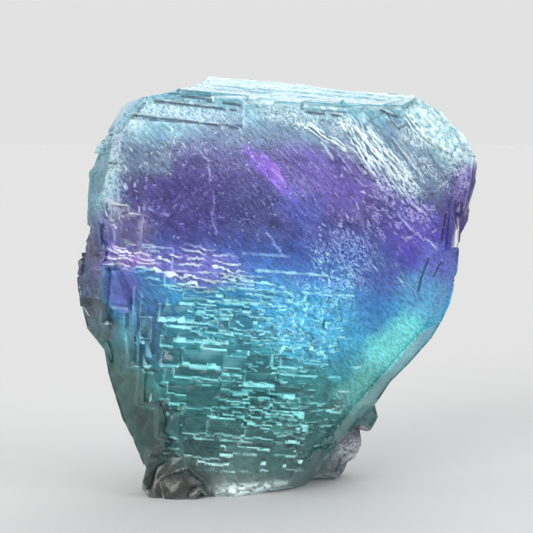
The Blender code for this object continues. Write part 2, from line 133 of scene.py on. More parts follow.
# Plates: left riser as a share of the lower one, notches of a foot, least grid cells, the share of the
# solid that is nearer than the plate, rims of painted shadow in cells, the frost and painted highlight of
# risers, and the painted shade of rims
LEFT_RISER_SHARE = 0.5
NOTCH_WIDTH = 1.3
NOTCH_SHARE = 0.06
NOTCH_STEPS = 3
LEAST_CELLS = 6
LEVEL_SHARE = 0.9
EDGE_RIM = 0.6
TOP_RIM = 1.2
PLATE_FROST_AND_HIGHLIGHT = 0.95
PLATE_LEFT_FROST_AND_HIGHLIGHT = 0.45
PLATE_RIM_SHADE = 0.75

# Flat plates of the lower front that stand out: left end, top, width, height, riser and painted face shade
PLATES = [
    (-17.0, 28.9, 5.4, 2.6, 0.95, 0.45),
    (-13.4, 31.5, 4.9, 1.9, 0.35, 0.55),
    (-8.3, 26.6, 1.7, 1.7, 0.20, 0.60),
    (-6.7, 27.2, 3.4, 2.1, 0.25, 0.65),
    (-16.8, 24.3, 1.9, 1.9, 0.50, 0.60),
    (-14.4, 24.4, 7.6, 1.1, 0.75, 0.30),
    (-16.6, 22.5, 2.7, 2.7, 0.55, 0.60),
    (-14.8, 19.6, 6.8, 1.6, 0.35, 0.60),
    (-13.7, 22.3, 6.4, 2.9, 0.85, 0.60),
    (-7.9, 19.6, 8.2, 1.5, 0.65, 0.55),
    (-7.6, 21.2, 3.4, 2.0, 0.25, 0.60),
    (-4.8, 18.7, 4.8, 2.1, 0.90, 0.65),
    (-13.0, 17.0, 4.8, 3.6, 0.25, 0.45),
    (-8.0, 17.6, 3.2, 1.6, 0.25, 0.55),
    (-10.1, 11.9, 5.1, 2.7, 0.45, 0.55),
    (-3.4, 24.8, 2.7, 1.3, 0.25, 0.50),
    (0.6, 21.0, 3.5, 1.5, 0.40, 0.45),
    (-1.0, 16.6, 3.9, 1.3, 0.45, 0.50),
    (-13.6, 12.8, 3.6, 3.4, 0.25, 0.45),
    (-13.4, 8.7, 5.3, 2.8, 0.30, 0.45),
    (-4.6, 10.4, 4.4, 1.6, 0.35, 0.40),
    (-23.7, 43.4, 2.6, 2.8, 0.30, 0.00),
    (-22.4, 42.2, 3.3, 5.2, 0.25, 0.30),
    (-19.0, 41.0, 1.6, 3.6, 0.20, 0.20),
    (-21.8, 27.4, 1.5, 4.4, 0.25, 0.75),
    (-19.6, 27.0, 1.6, 3.6, 0.25, 0.45),
]
PLATE_DROP = 0.60

# Rows of seeded plates: centre (x, z), radii, row height, plate width, share left out and drop
PLATE_ROWS = [
    ((-8.2, 20.0), (9.8, 11.4), (1.7, 3.2), (2.6, 7.6), 0.06, 0.55),
    ((2.0, 14.0), (9.4, 6.4), (1.2, 2.4), (2.4, 6.4), 0.40, 0.45),
    ((-9.0, 27.8), (5.6, 3.0), (0.5, 0.9), (0.7, 2.4), 0.35, 0.34),
    ((-3.5, 13.4), (6.0, 2.6), (0.45, 0.8), (0.5, 1.8), 0.45, 0.32),
    ((-2.0, 6.0), (9.0, 3.0), (0.7, 1.3), (2.0, 6.0), 0.55, 0.22),
]
PLATE_LIFT = (0.02, 0.26)
PLATE_RISER_SHARE = (0.12, 0.46)
PLATE_TALL = (0.8, 1.15)
# Painted shade on the faces of the seeded plates, from least to most
PLATE_FACE_SHADE = (0.1, 0.75)
PLATE_JITTER = 0.22

# Thin wavy layers with torn edges: centre (x, z), radii, turn in degrees, pitch and height
LAMELLAE = [
    ((-11.6, 33.8), (7.6, 3.6), 9.0, 0.95, 0.50),
    ((-21.6, 35.4), (4.4, 1.6), 6.0, 0.80, 0.44),
    ((-3.6, 31.2), (5.6, 2.0), 10.0, 0.90, 0.38),
]
LAYER_WAVES = [(1.3, 2.8, 1.4, 3), (0.8, 0.9, 0.7, 2)]
LAYER_WHOLE = (0.30, 0.6, 1.6, 0.6, 1)
LAYER_LEAST = 0.25
LAYER_RISER = 0.34
LAYER_SLOPE = 0.35
# Painted shade on the layers' faces, and a painted shadow in the gap above each riser
LAYER_SHADE = 0.4
GAP_START = 0.86
GAP_SHADE = 0.8

# Small wrinkles in all directions: centre (x, z), radii, size and height
CRINKLES = [
    ((4.6, 26.4), (7.2, 6.0), 1.5, 0.44),
    ((9.6, 31.8), (3.6, 3.6), 0.9, 0.26),
]
CRINKLE_TURN = 20.0
CRINKLE_OCTAVES = 2
CRINKLE_SIZES = [(0.6, 1.0, 0.8), (0.4, 0.5, 0.4)]
# Crests take frost and painted highlight, dips painted shade
CRINKLE_CREST = (0.86, 0.96)
CRINKLE_DIP = (0.55, 0.25)
CRINKLE_FROST_AND_HIGHLIGHT = 0.9
CRINKLE_SHADE = 0.5

# Torn fibres: centre (x, z), radii, turn in degrees, cell along and across, height, and the frost and
# painted highlight of their crests
STRANDS = [
    ((10.6, 52.0), (9.0, 1.4), 54.0, (3.0, 0.60), 0.18, 0.3),
    ((14.2, 50.0), (11.0, 2.6), 52.0, (4.0, 1.00), 0.28, 0.3),
    ((18.6, 50.6), (10.5, 3.0), 52.0, (2.4, 0.80), 0.20, 0.2),
    ((22.8, 52.0), (9.5, 3.0), 50.0, (1.5, 0.60), 0.14, 0.2),
    ((9.2, 38.0), (8.0, 3.6), 52.0, (1.6, 0.55), 0.14, 0.2),
    ((21.4, 36.0), (6.4, 4.0), 58.0, (4.0, 0.90), 0.22, 0.0),
]
STRAND_OCTAVES = 3
STRAND_BEND = 0.6
STRAND_BENDS = (5.0, 2.0, 2)
STRAND_WHOLE = (0.3, 0.55, 1.2, 0.8, 1)
STRAND_CREST = (0.92, 0.98)

# Courses of the brightest fibres: points (x, z)
BUNDLES = [
    [(10.3, 55.1), (12.9, 50.5), (14.9, 47.4)],
    [(11.8, 54.6), (14.3, 51.4), (17.2, 47.7), (19.5, 43.9), (21.8, 42.2)],
    [(18.6, 55.7), (21.2, 52.5), (23.6, 50.8)],
    [(4.6, 55.1), (6.6, 53.6), (10.6, 51.2)],
    [(13.6, 53.4), (16.8, 50.4), (20.2, 46.4)],
]
FIBRES = 4
FIBRE_SPREAD = 0.8
FIBRE_WIDTH = 0.17
FIBRE_BEND = 1.3
FIBRE_GROOVE = 0.11
# Painted shadow below each fibre
FIBRE_SHADE = 0.9

# Hackly places with fine grains: centre (x, z), radii, turn in degrees, grain height and hackle
HACKLES = [
    ((13.6, 50.6), (12.0, 3.0), 52.0, 0.06, 1.0),
    ((17.6, 46.6), (7.6, 3.6), 48.0, 0.10, 1.0),
    ((23.4, 50.6), (7.4, 3.6), 46.0, 0.10, 1.0),
    ((17.6, 41.0), (4.4, 3.6), 55.0, 0.12, 0.9),
    ((9.8, 36.4), (6.0, 4.6), 50.0, 0.10, 0.8),
    ((4.0, 55.8), (7.6, 1.9), 12.0, 0.08, 0.9),
    ((-17.6, 54.4), (6.0, 3.0), 10.0, 0.14, 0.3),
    ((-7.0, 46.0), (13.0, 9.0), 0.0, 0.06, 0.22),
    ((28.0, 52.0), (4.0, 6.0), 30.0, 0.12, 0.9),
    ((-2.0, 12.4), (7.0, 2.4), 0.0, 0.16, 0.5),
    ((5.0, 27.0), (7.0, 6.6), 0.0, 0.10, 0.4),
    ((-27.6, 30.0), (3.6, 9.0), 0.0, 0.14, 0.25),
]
HACKLE_GRAINS = (0.54, 0.36, 1)
HACKLE_CLUSTERS = (0.36, 0.60, 2.6, 1.5, 2)
CALM_SHARE = 0.18

# Curved ripples of broken faces: centre (x, z), origin, radii, turn in degrees, pitch and height
RIPPLES = [
    ((-22.0, 16.0), (-44.0, 30.0), (6.0, 14.0), -18.0, 2.1, 0.18),
    ((22.0, 33.0), (40.0, 20.0), (7.0, 9.0), 0.0, 3.4, 0.14),
    ((-12.4, 12.6), (-30.0, 34.0), (5.4, 5.4), 0.0, 2.6, 0.16),
]
RIPPLE_BEND = 1.2
RIPPLE_NOISE = (6.0, 6.0, 3)

# Short bright marks of frost and painted highlight, each with a painted shadow below: count, centre (x, z),
# radii, turn and spread in degrees, length, frost and highlight, and painted shade
SCRATCHES = [
    (420, (-7.0, 46.0), (13.0, 9.4), 46.0, 24.0, (0.2, 0.9), 0.24, 0.5),
    (40, (-17.0, 53.0), (4.5, 3.5), 46.0, 10.0, (0.4, 1.4), 0.7, 0.2),
    (140, (-8.0, 46.0), (12.0, 9.0), 20.0, 70.0, (0.1, 0.4), 0.8, 0.0),
    (110, (4.0, 46.0), (9.0, 7.0), 44.0, 10.0, (0.3, 1.8), 0.30, 0.3),
    (20, (14.4, 50.0), (7.6, 2.4), 54.0, 7.0, (1.5, 6.0), 0.8, 0.8),
    (44, (19.6, 50.0), (7.6, 3.4), 50.0, 14.0, (0.4, 1.8), 0.8, 0.6),
    (120, (17.6, 43.0), (6.0, 5.0), 48.0, 40.0, (0.2, 1.0), 1.0, 0.6),
    (110, (10.0, 36.8), (4.6, 5.0), 50.0, 40.0, (0.2, 0.9), 1.0, 0.6),
    (26, (20.0, 36.0), (5.0, 5.0), 50.0, 12.0, (0.6, 2.4), 0.3, 0.0),
    (80, (0.5, 19.5), (7.5, 6.5), 6.0, 20.0, (0.3, 1.4), 1.0, 0.9),
    (70, (-6.6, 26.8), (7.0, 3.6), 14.0, 30.0, (0.3, 1.2), 1.0, 0.9),
    (40, (4.0, 10.4), (7.0, 4.0), 2.0, 14.0, (0.4, 2.2), 0.9, 0.8),
    (120, (5.0, 26.4), (6.4, 6.0), 60.0, 90.0, (0.2, 1.0), 0.5, 0.8),
    (26, (-22.0, 44.0), (2.6, 6.0), 70.0, 60.0, (0.2, 0.9), 1.0, 0.4),
]
SCRATCH_WIDTH = (0.04, 0.17)
SCRATCH_GROOVE = 0.05
SCRATCH_BEND = 1.4
SCRATCH_NOISE = (3.0, 3.0, 5)
SCRATCH_WHOLE = (0.25, 0.5, 0.7, 0.7, 1)
SCRATCH_STRENGTH = (0.4, 1.0)
SCRATCH_MARGIN = 0.4
SHORT_WIDTH = 0.8
LONG_WIDER = 0.14
# How far below a bright mark or fibre its painted shadow lies
PARTNER_DROP = 0.22

# Frosted places, whitened as frost and as painted light: centre (x, z), radii, turn in degrees and strength
FROSTED_AND_LIT = [
    ((24.6, 54.6), (8.0, 3.4), 48.0, 0.9),
    ((28.6, 49.4), (1.6, 5.0), 8.0, 0.6),
    ((-24.4, 49.6), (2.6, 7.4), -4.0, 0.45),
    ((-21.0, 56.4), (2.8, 2.6), 0.0, 0.6),
    ((-13.6, 56.6), (8.4, 1.8), 6.0, 0.2),
    ((-3.0, 1.0), (5.6, 1.0), 0.0, 1.0),
    ((2.0, 56.4), (6.0, 1.6), 8.0, 0.2),
    ((11.6, 4.8), (3.4, 1.8), 0.0, 0.4),
]
FROST_GRAINS = (0.512, 0.32, 2)
FROST_SPECKLE = (0.40, 0.62)
FROST_HEIGHT = 0.12
FROST_HACKLE = 0.8

# Cleavage terraces of the top, the back and the sides
TERRACES = 90
TERRACE_WIDTH = (3.0, 18.0)
TERRACE_HEIGHT = (1.2, 9.0)
TERRACE_STEP = (0.08, 0.26)
TERRACE_DEEPEST = 1.3
TERRACE_BEND = 0.7
TERRACE_NOISE = (2.4, 2.4, 3)

# The top: waves, grains, share of the terraces' strength and of the risers' painted highlight and shade,
# frost and painted light over all of it, and hackle
TOP_WAVES = (0.22, 5.0, 2.0, 3)
TOP_GRAINS = (0.10, 0.9, 0.6, 1)
TOP_TERRACES = 0.4
TOP_RISERS = 0.5
TOP_FROST_AND_LIGHT = 0.15
TOP_HACKLE = 0.3
TOP_MORE_HACKLE = 0.4
TOP_PATCHES = (0.35, 0.70, 4.0, 2.4, 5)

# The back and the sides: waves, grains, risers' share of painted highlight and shade, hackle and frost,
# and the height where frost sets in
PLAIN_WAVES = (0.35, 7.0, 5.0, 4)
PLAIN_GRAIN = 0.16
PLAIN_GRAINS = (0.8, 0.8, 1)
PLAIN_RISERS = 0.6
PLAIN_HACKLE = 0.3
PLAIN_PATCHES = (0.50, 0.70, 9.0, 6.0, 3)
PLAIN_FROST = 0.45
PLAIN_SPECKLE = (0.42, 0.66, 3.0, 2.0, 4)
FROSTED_ABOVE = (47.0, 54.0)
HIGH_HACKLE = 0.6

# Waves and grains of the whole front
FRONT_WAVES = [(0.06, 2.2, 1.6, 3), (0.05, 0.34, 0.34, 1)]

# Places where sharp facet edges are worn round: centre (x, z), radii, turn in degrees
WORN = [
    ((18.0, 24.0), (14.0, 7.0), -42.0),
    ((22.0, 40.0), (7.0, 8.0), 0.0),
    ((-14.8, 3.0), (7.0, 6.0), 0.0),
    ((9.0, 7.0), (9.0, 8.0), -30.0),
    ((26.0, 52.0), (6.0, 9.0), 45.0),
    ((-27.4, 30.0), (4.0, 14.0), 0.0),
]
WORN_PASSES = 30

# Thin painted shadows in the gaps under the ledges of the top edge, and in cracks, each also a shallow
# groove: points (x, z)
PAINTED_SHADOW_LINES = [
    [(-13.9, 58.9), (-9.2, 58.4)],
    [(-12.1, 59.9), (-9.2, 59.6)],
    [(-9.8, 58.1), (-3.9, 57.5)],
    [(-17.3, 58.2), (-5.7, 56.8)],
    [(-20.4, 56.1), (-12.8, 55.3), (-5.4, 54.3)],
    [(4.4, 58.0), (9.7, 57.5)],
    [(4.0, 56.6), (9.4, 56.0)],
    [(15.1, 56.8), (17.4, 55.9)],
    [(-24.0, 49.3), (-22.6, 49.3)],
    [(25.2, 41.8), (24.8, 39.6), (24.6, 37.4)],
    [(22.6, 35.2), (21.6, 32.6), (21.1, 30.2)],
    [(24.6, 34.6), (23.4, 32.4)],
    [(8.6, 28.6), (7.2, 27.4), (6.9, 25.6)],
]
DARK_WIDTH = 0.30
DARK_GROOVE = 0.22

# Thin bright edges, frost and painted highlight: points (x, z) and strength
BRIGHT_LINES = [
    ([(-8.9, 61.1), (-9.1, 58.1)], 0.9),
    ([(-9.4, 53.4), (-9.9, 51.2), (-9.3, 49.4), (-9.4, 46.4), (-8.8, 43.8), (-9.1, 41.0), (-8.4, 38.2)], 0.6),
    ([(-11.6, 51.6), (-9.4, 49.6)], 0.5),
    ([(-18.6, 42.9), (-15.4, 41.8)], 0.9),
    ([(-8.4, 41.6), (-4.0, 41.2)], 0.35),
    ([(-14.4, 53.4), (-14.9, 51.6)], 0.6),
    ([(-21.8, 57.0), (-22.8, 44.6)], 0.5),
    ([(-12.6, 46.4), (-14.6, 43.6), (-16.6, 42.0)], 0.3),
    ([(-1.4, 39.4), (1.0, 36.2)], 0.8),
    ([(-19.4, 30.6), (-19.6, 27.4)], 0.4),
]
BRIGHT_WIDTH = 0.16
BRIGHT_BEND = 1.0

# Colour bands from the foot to the top: height and colour
BANDS = [
    (0.0, "8f9a98"), (2.5, "6a8684"), (7.0, "4c7876"), (12.0, "3f807e"), (18.0, "459296"),
    (24.0, "55aebf"), (29.0, "57b4e4"), (33.0, "5f8fd8"), (37.0, "465aa2"), (41.0, "494986"),
    (46.0, "5f5694"), (50.0, "6f6ea8"), (53.0, "8fa6c6"), (56.0, "98cce0"), (58.0, "8fd2e0"),
    (62.3, "74b6c2"),
]
BAND_TOP = 62.3

# Colour zones on the bands: what it is, centre (x, z), radii, turn in degrees, colour and share. Along Y
# they reach THROUGH the crystal.
THROUGH = 40.0
ZONES = [
    ("plateau", (-12.0, 43.0), (8.0, 5.5), 0, "453b80", 0.7),
    ("plateau middle", (-3.0, 43.0), (5.0, 4.5), 30, "464c84", 0.7),
    ("upper left frost", (-18.5, 55.4), (7.5, 3.4), 0, "aae2f4", 0.9),
    ("upper left grey", (-19.0, 50.0), (5.0, 3.4), 0, "88a2b8", 0.7),
    ("left rim", (-26.5, 48.0), (4.2, 9.0), 0, "74a8b0", 0.9),
    ("upper grey right", (8.0, 54.0), (9.0, 2.6), 8, "86a2ba", 0.8),
    ("purple right", (7.0, 47.0), (8.0, 4.0), 35, "8472c8", 0.8),
    ("violet streak", (-0.4, 47.4), (5.6, 1.3), 46, "a07cf0", 0.9),
    ("streak core", (0.4, 47.6), (2.4, 0.5), 46, "d09cfc", 0.7),
    ("streak low", (4.2, 42.5), (4.5, 3.0), 40, "656ec4", 0.7),
    ("right upper slate", (19.0, 50.5), (8.0, 5.0), 45, "7f9cb8", 0.8),
    ("right rim", (26.5, 55.0), (7.0, 6.0), 50, "9ce4ec", 0.95),
    ("right violet", (20.6, 38.5), (6.0, 5.0), 0, "6a5fc8", 0.85),
    ("right pale violet", (24.0, 34.5), (3.5, 3.0), 0, "7f86e0", 0.8),
    ("right purple", (15.5, 32.5), (4.5, 3.5), 0, "5b68b2", 0.8),
    ("right cyan", (22.0, 29.5), (5.0, 3.5), 0, "71afd7", 0.8),
    ("right blue", (12.0, 28.0), (5.0, 3.5), 0, "4f86c8", 0.8),
    ("right aqua", (16.8, 22.3), (6.5, 3.4), -42, "90f8f2", 0.95),
    ("lower right slope", (12.0, 15.6), (5.0, 3.0), -42, "7cc8c2", 0.8),
    ("centre cyan", (4.5, 26.0), (8.5, 5.5), 20, "5cbcec", 0.85),
    ("lamellar violet", (-11.8, 34.6), (7.6, 3.2), 9, "8a80d8", 0.8),
    ("lavender patch", (-22.8, 42.6), (1.9, 1.5), 20, "d4d4f4", 0.85),
    ("left panel", (-21.5, 40.0), (4.0, 4.0), 0, "8a7fb4", 0.8),
    ("left magenta", (-21.5, 35.3), (4.5, 1.7), 4, "c49cf0", 0.9),
    ("blue left", (-19.6, 29.0), (5.0, 4.0), 0, "4c6ca0", 0.8),
    ("left columns", (-18.6, 23.0), (3.2, 5.0), 0, "44607c", 0.8),
    ("violet panel", (-22.3, 31.0), (2.6, 3.6), 0, "5b4ea0", 0.8),
    ("left margin", (-28.0, 33.0), (3.6, 8.0), 0, "463a4c", 0.9),
    ("left margin low", (-26.5, 25.5), (3.2, 4.5), 0, "4a4e4c", 0.85),
    ("lower left flank", (-22.0, 14.0), (4.6, 11.0), -18, "48645c", 0.9),
    ("lower left low", (-18.0, 10.0), (3.4, 5.0), -10, "324644", 0.9),
]

# Zones that don't run through the crystal: what it is, centre (x, y, z), radii, turn, colour and share
SHALLOW_ZONES = [
    ("foot", (-14.8, -2.0, 2.0), (6.5, 12.0, 4.0), 0, "38332c", 0.95),
    ("lumps", (10.0, 8.0, 7.5), (11.0, 7.0, 7.5), 35, "8a8590", 0.9),
    ("violet flake", (27.8, -2.6, 44.8), (3.2, 6.0, 6.5), 8, "6d5fa6", 0.95),
]
ZONE_SOFT = (0.55, 1.35)

# How far the zones drift, and the cells in a millimetre and the detail of the noise that moves them
DRIFT = 5.0
DRIFT_SCALE = 0.22
DRIFT_DETAIL = 3.0

# Bright colour of frost and painted highlights, and dark colour of painted shade, both made from the
# stone's own colour
FROST_AND_HIGHLIGHT_GAMMA = 0.7
FROST_AND_HIGHLIGHT_GAIN = 3.0
FROST_AND_HIGHLIGHT_TINT = (0.86, 0.99, 1.0)
FROST_AND_HIGHLIGHT_WHITE = 0.10
SHADE_TINT = (0.08, 0.10, 0.14, 1.0)
SHADE_SHARE = 0.88
WHITE = (1.0, 1.0, 1.0, 1.0)

# Fine marks: turn, cell, detail and roughness of their noise. Places: centre, radii, turn, soft edge
ETCH_NOISE = (math.radians(47.0), (1.3, 0.6, 0.22), 3.0, 0.6)
LAYER_NOISE = (math.radians(5.0), (1.6, 0.8, 0.24), 3.0, 0.6)
LAYERED = ((-5.5, 0.0, 19.0), (11.5, THROUGH, 14.0), 0.0, 0.85, 1.15)
ETCH_STEP = (0.30, 0.70)
ETCH_TONE = (0.52, 1.42)
ETCH_DEPTH = 0.05
ETCH_STRENGTH = 0.5
GRAIN_NOISE = (0.0, (0.24, 0.24, 0.18), 2.0, 0.5)
GRAINY = ((1.0, 0.0, 42.0), (24.0, THROUGH, 22.0), 0.0, 0.7, 1.2)
GRAIN_STEP = (0.60, 0.70)
GRAIN_SHARE = 0.30
HACKLE_NOISE = (math.radians(52.0), (0.80, 0.5, 0.26), 2.0, 0.55)
STRAND_NOISE = (math.radians(52.0), (3.0, 0.8, 0.30), 3.0, 0.55)
STRANDED = ((15.6, 0.0, 50.4), (12.0, THROUGH, 3.4), 52.0, 0.8, 1.1)
# Hackle crests take painted glints, its pits painted shade
HACKLE_STEP = (0.050, 0.014)
HACKLE_DARK = (0.56, 0.70)
PIT_SHADE_SHARE = 0.6

# The clear stone
ABSORPTION_COLOUR = (0.55, 0.78, 0.95, 1.0)
ABSORPTION_DENSITY = 12.0
STONE_IOR = 1.434
STONE_TRANSMISSION = 0.60
STONE_ROUGHNESS = 0.23
FROST_ROUGHNESS = 0.25
FROST_OPAQUE = 0.5
STONE_SATURATION = 1.06


class Side:
    """One direction to look at the crystal from, with the axes of its grid.

    The grid's axes are turned clockwise, as its viewer sees them, by turn. Where the solid falls away
    more steeply than steepest, the relief leaves it to the other sides.
    """

    def __init__(self, name, look, across, up, cell, steepest, turn=0.0):
        self.name = name
        self.look = Vector(look)
        self.across = Vector(across)
        self.up = Vector(up)
        self.cell = cell
        self.steepest = steepest
        self.turn = turn


LATTICE_X = (math.cos(TILT), 0.0, -math.sin(TILT))
LATTICE_Z = (math.sin(TILT), 0.0, math.cos(TILT))
BACK_X = [-part for part in LATTICE_X]
FRONT = Side("front", (0, 1, 0), LATTICE_X, LATTICE_Z, FRONT_CELL, FRONT_STEEPEST, TILT)
BACK = Side("back", (0, -1, 0), BACK_X, LATTICE_Z, BACK_CELL, BACK_STEEPEST, -TILT)
LEFT = Side("left", (1, 0, 0), (0, -1, 0), (0, 0, 1), SIDE_CELL, SIDE_STEEPEST)
RIGHT = Side("right", (-1, 0, 0), (0, 1, 0), (0, 0, 1), SIDE_CELL, SIDE_STEEPEST)
TOP = Side("top", (0, 0, -1), (1, 0, 0), (0, 1, 0), TOP_CELL, SIDE_STEEPEST)


def smooth(low, high, value):
    """0 below low, 1 above high and a smooth step between them."""
    share = np.clip((value - low) / (high - low), 0.0, 1.0)
    return share * share * (3.0 - 2.0 * share)


def value_noise(rng, u, v, cell_u, cell_v):
    """Smooth noise from 0 to 1 whose cells have the given size."""
    a = u / cell_u
    b = v / cell_v
    column = np.floor(a).astype(int)
    row = np.floor(b).astype(int)
    share_a = smooth(0.0, 1.0, a - column)
    share_b = smooth(0.0, 1.0, b - row)
    column -= column.min()
    row -= row.min()
    table = rng.random((row.max() + 2, column.max() + 2))
    low = table[row, column] * (1.0 - share_a) + table[row, column + 1] * share_a
    high = table[row + 1, column] * (1.0 - share_a) + table[row + 1, column + 1] * share_a
    return low * (1.0 - share_b) + high * share_b


def fractal(rng, u, v, cell_u, cell_v, octaves):
    """Sum of octaves of noise, from 0 to 1."""
    total = np.zeros_like(u)
    weight = 0.0
    for octave in range(octaves):
        share = 0.5 ** octave
        total += share * value_noise(rng, u, v, cell_u * share, cell_v * share)
        weight += share
    return total / weight


def patches(rng, u, v, low, high, *noise):
    """Patches from 0 to 1, by the step of fractal noise from low to high."""
    return smooth(low, high, fractal(rng, u, v, *noise))


def ridged(noise):
    """Crests where the noise passes its middle, from 0 to 1."""
    return 1.0 - np.abs(2.0 * noise - 1.0)


def turned(u, v, degrees):
    """The same places in axes that are turned clockwise, as seen by the viewer."""
    angle = math.radians(degrees)
    along = u * math.cos(angle) - v * math.sin(angle)
    beside = u * math.sin(angle) + v * math.cos(angle)
    return along, beside


def neighbours(field):
    """The field and its shifts by one cell in the eight directions, with its edges repeated."""
    padded = np.pad(field, 1, mode="edge")
    rows, columns = field.shape
    shifts = []
    for down in range(3):
        for over in range(3):
            shifts.append(padded[down:down + rows, over:over + columns])
    return np.array(shifts)


def blurred(field, passes):
    """The field with its small detail taken out."""
    for _ in range(passes):
        field = neighbours(field).mean(axis=0)
    return field


def segment_reach(x, z, start, end):
    """Distance of each place from a line between two points."""
    run_x = end[0] - start[0]
    run_z = end[1] - start[1]
    share = ((x - start[0]) * run_x + (z - start[1]) * run_z) / (run_x * run_x + run_z * run_z)
    share = np.clip(share, 0.0, 1.0)
    return np.hypot(x - start[0] - share * run_x, z - start[1] - share * run_z)


def put_in_scene(name, data):
    """A new object with the data, in the scene."""
    obj = bpy.data.objects.new(name, data)
    bpy.context.scene.collection.objects.link(obj)
    return obj


def crystal_tree():
    """Ray caster for the CAD solid, in millimetres."""
    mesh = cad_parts[NODE].data
    points = [vert.co / MM for vert in mesh.vertices]
    faces = [tuple(polygon.vertices) for polygon in mesh.polygons]
    return BVHTree.FromPolygons(points, faces)


def grid_axes(side):
    """Places of the grid's columns and rows, wide enough for the whole crystal."""
    corners = [vert.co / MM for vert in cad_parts[NODE].data.vertices]
    axes = []
    for axis in (side.across, side.up):
        reach = [axis.dot(corner) for corner in corners]
        axes.append(np.arange(min(reach) - GRID_MARGIN, max(reach) + GRID_MARGIN, side.cell))
    return axes


def cast_depths(tree, side, columns, rows):
    """Depth of the CAD solid along each ray of the grid; nan where the ray misses."""
    depth = np.full((len(rows), len(columns)), np.nan)
    start = -RAY_START * side.look
    for row, height in enumerate(rows.tolist()):
        base = start + height * side.up
        for column, place in enumerate(columns.tolist()):
            hit = tree.ray_cast(base + place * side.across, side.look)
            if hit[0] is not None:
                depth[row, column] = hit[3] - RAY_START
    return depth


def fill_misses(depth):
    """Carry the depth outwards over the misses, so that the relief runs past the outline."""
    filled = depth.copy()
    for _ in range(MISS_PASSES):
        near = neighbours(filled)
        known = ~np.isnan(near)
        count = known.sum(axis=0)
        mean = np.where(known, near, 0.0).sum(axis=0) / np.maximum(count, 1)
        take = np.isnan(filled) & (count > 0)
        filled[take] = mean[take]
    filled[np.isnan(filled)] = np.nanmax(depth)
    return filled


class Relief:
    """Fields over a side's grid: places and depth in millimetres, frost and painted highlight, shade, hackle.
    """

    def __init__(self, rng, side, columns, rows, depth):
        self.rng = rng
        self.columns = columns
        self.rows = rows
        self.cell = side.cell
        self.turn = side.turn
        self.u, self.v = np.meshgrid(columns, rows)
        self.x = self.u * math.cos(self.turn) + self.v * math.sin(self.turn)
        self.z = self.v * math.cos(self.turn) - self.u * math.sin(self.turn)
        self.solid = depth
        self.depth = depth + KEEP_INSIDE
        self.frost_and_highlight = np.zeros_like(depth)
        self.shade = np.zeros_like(depth)
        self.hackle = np.zeros_like(depth)

    def on_grid(self, x, z):
        """A place in the grid's own axes."""
        along = x * math.cos(self.turn) - z * math.sin(self.turn)
        return along, x * math.sin(self.turn) + z * math.cos(self.turn)

    def fractal(self, *noise):
        """Fractal noise over the grid."""
        return fractal(self.rng, self.u, self.v, *noise)

    def patches(self, *settings):
        """Patches over the grid."""
        return patches(self.rng, self.u, self.v, *settings)

    def waves(self, height, *noise):
        """Press waves of noise into the surface."""
        self.depth += height * self.fractal(*noise)

    def oval(self, centre, radii, degrees, soft):
        """1 inside an oval and 0 outside, with a soft edge."""
        along, beside = turned(self.x - centre[0], self.z - centre[1], degrees)
        reach = np.hypot(along / radii[0], beside / radii[1])
        return 1.0 - smooth(1.0 - soft, 1.0 + soft, reach)

    def window(self, centre, reach_u, reach_v):
        """Slice of the grid around a place given in the grid's own axes."""
        column = np.searchsorted(self.columns, (centre[0] - reach_u, centre[0] + reach_u))
        row = np.searchsorted(self.rows, (centre[1] - reach_v, centre[1] + reach_v))
        return slice(row[0], row[1]), slice(column[0], column[1])

    def add_frost_and_highlight(self, values, place=...):
        """Add frost and painted highlight to a place where it isn't already brighter."""
        self.frost_and_highlight[place] = np.maximum(self.frost_and_highlight[place], values)

    def add_shade(self, values, place=...):
        """Add painted shade to a place where it isn't already darker."""
        self.shade[place] = np.maximum(self.shade[place], values)

    def stay_inside(self):
        """Keep the relief inside the solid."""
        self.depth = np.maximum(self.depth, self.solid + KEEP_INSIDE)

    def line(self, points, width, bend=0.0, groove=0.0, frost_and_highlight=0.0, shade=0.0):
        """A thin line along the points, bent a little: a groove, a painted highlight with frost, or a painted
        shadow.
        """
        whole = self.patches(*LINE_WHOLE)
        bent = self.x + bend * (self.fractal(*LINE_NOISE) - 0.5)
        inner, outer = LINE_EDGE
        for start, end in zip(points[:-1], points[1:]):
            reach = segment_reach(bent, self.z, start, end)
            mask = whole * (1.0 - smooth(inner * width, outer * width, reach))
            self.depth += groove * mask
            self.shade *= 1.0 - frost_and_highlight * mask
            self.add_frost_and_highlight(frost_and_highlight * mask)
            self.add_shade(shade * mask)

    def close_risers(self, share=1.0):
        """Painted highlight and frost on risers facing down and left; painted shade on those facing up and
        right.
        """
        detail = self.depth - blurred(self.depth, RISER_BLUR)
        rise_v, rise_u = np.gradient(detail, self.cell)
        slopes = {"down": -rise_v, "left": -rise_u, "up": rise_v, "right": rise_u}
        strong = share * (RISER_LEAST + (1.0 - RISER_LEAST) * self.patches(*RISER_WHOLE))
        for way, strength in RISER_FROST_AND_HIGHLIGHT.items():
            self.add_frost_and_highlight(strength * strong * smooth(*RISER_SLOPE, slopes[way]))
        for way, strength in RISER_SHADE.items():
            self.add_shade(strength * strong * smooth(*RISER_SLOPE, slopes[way]))


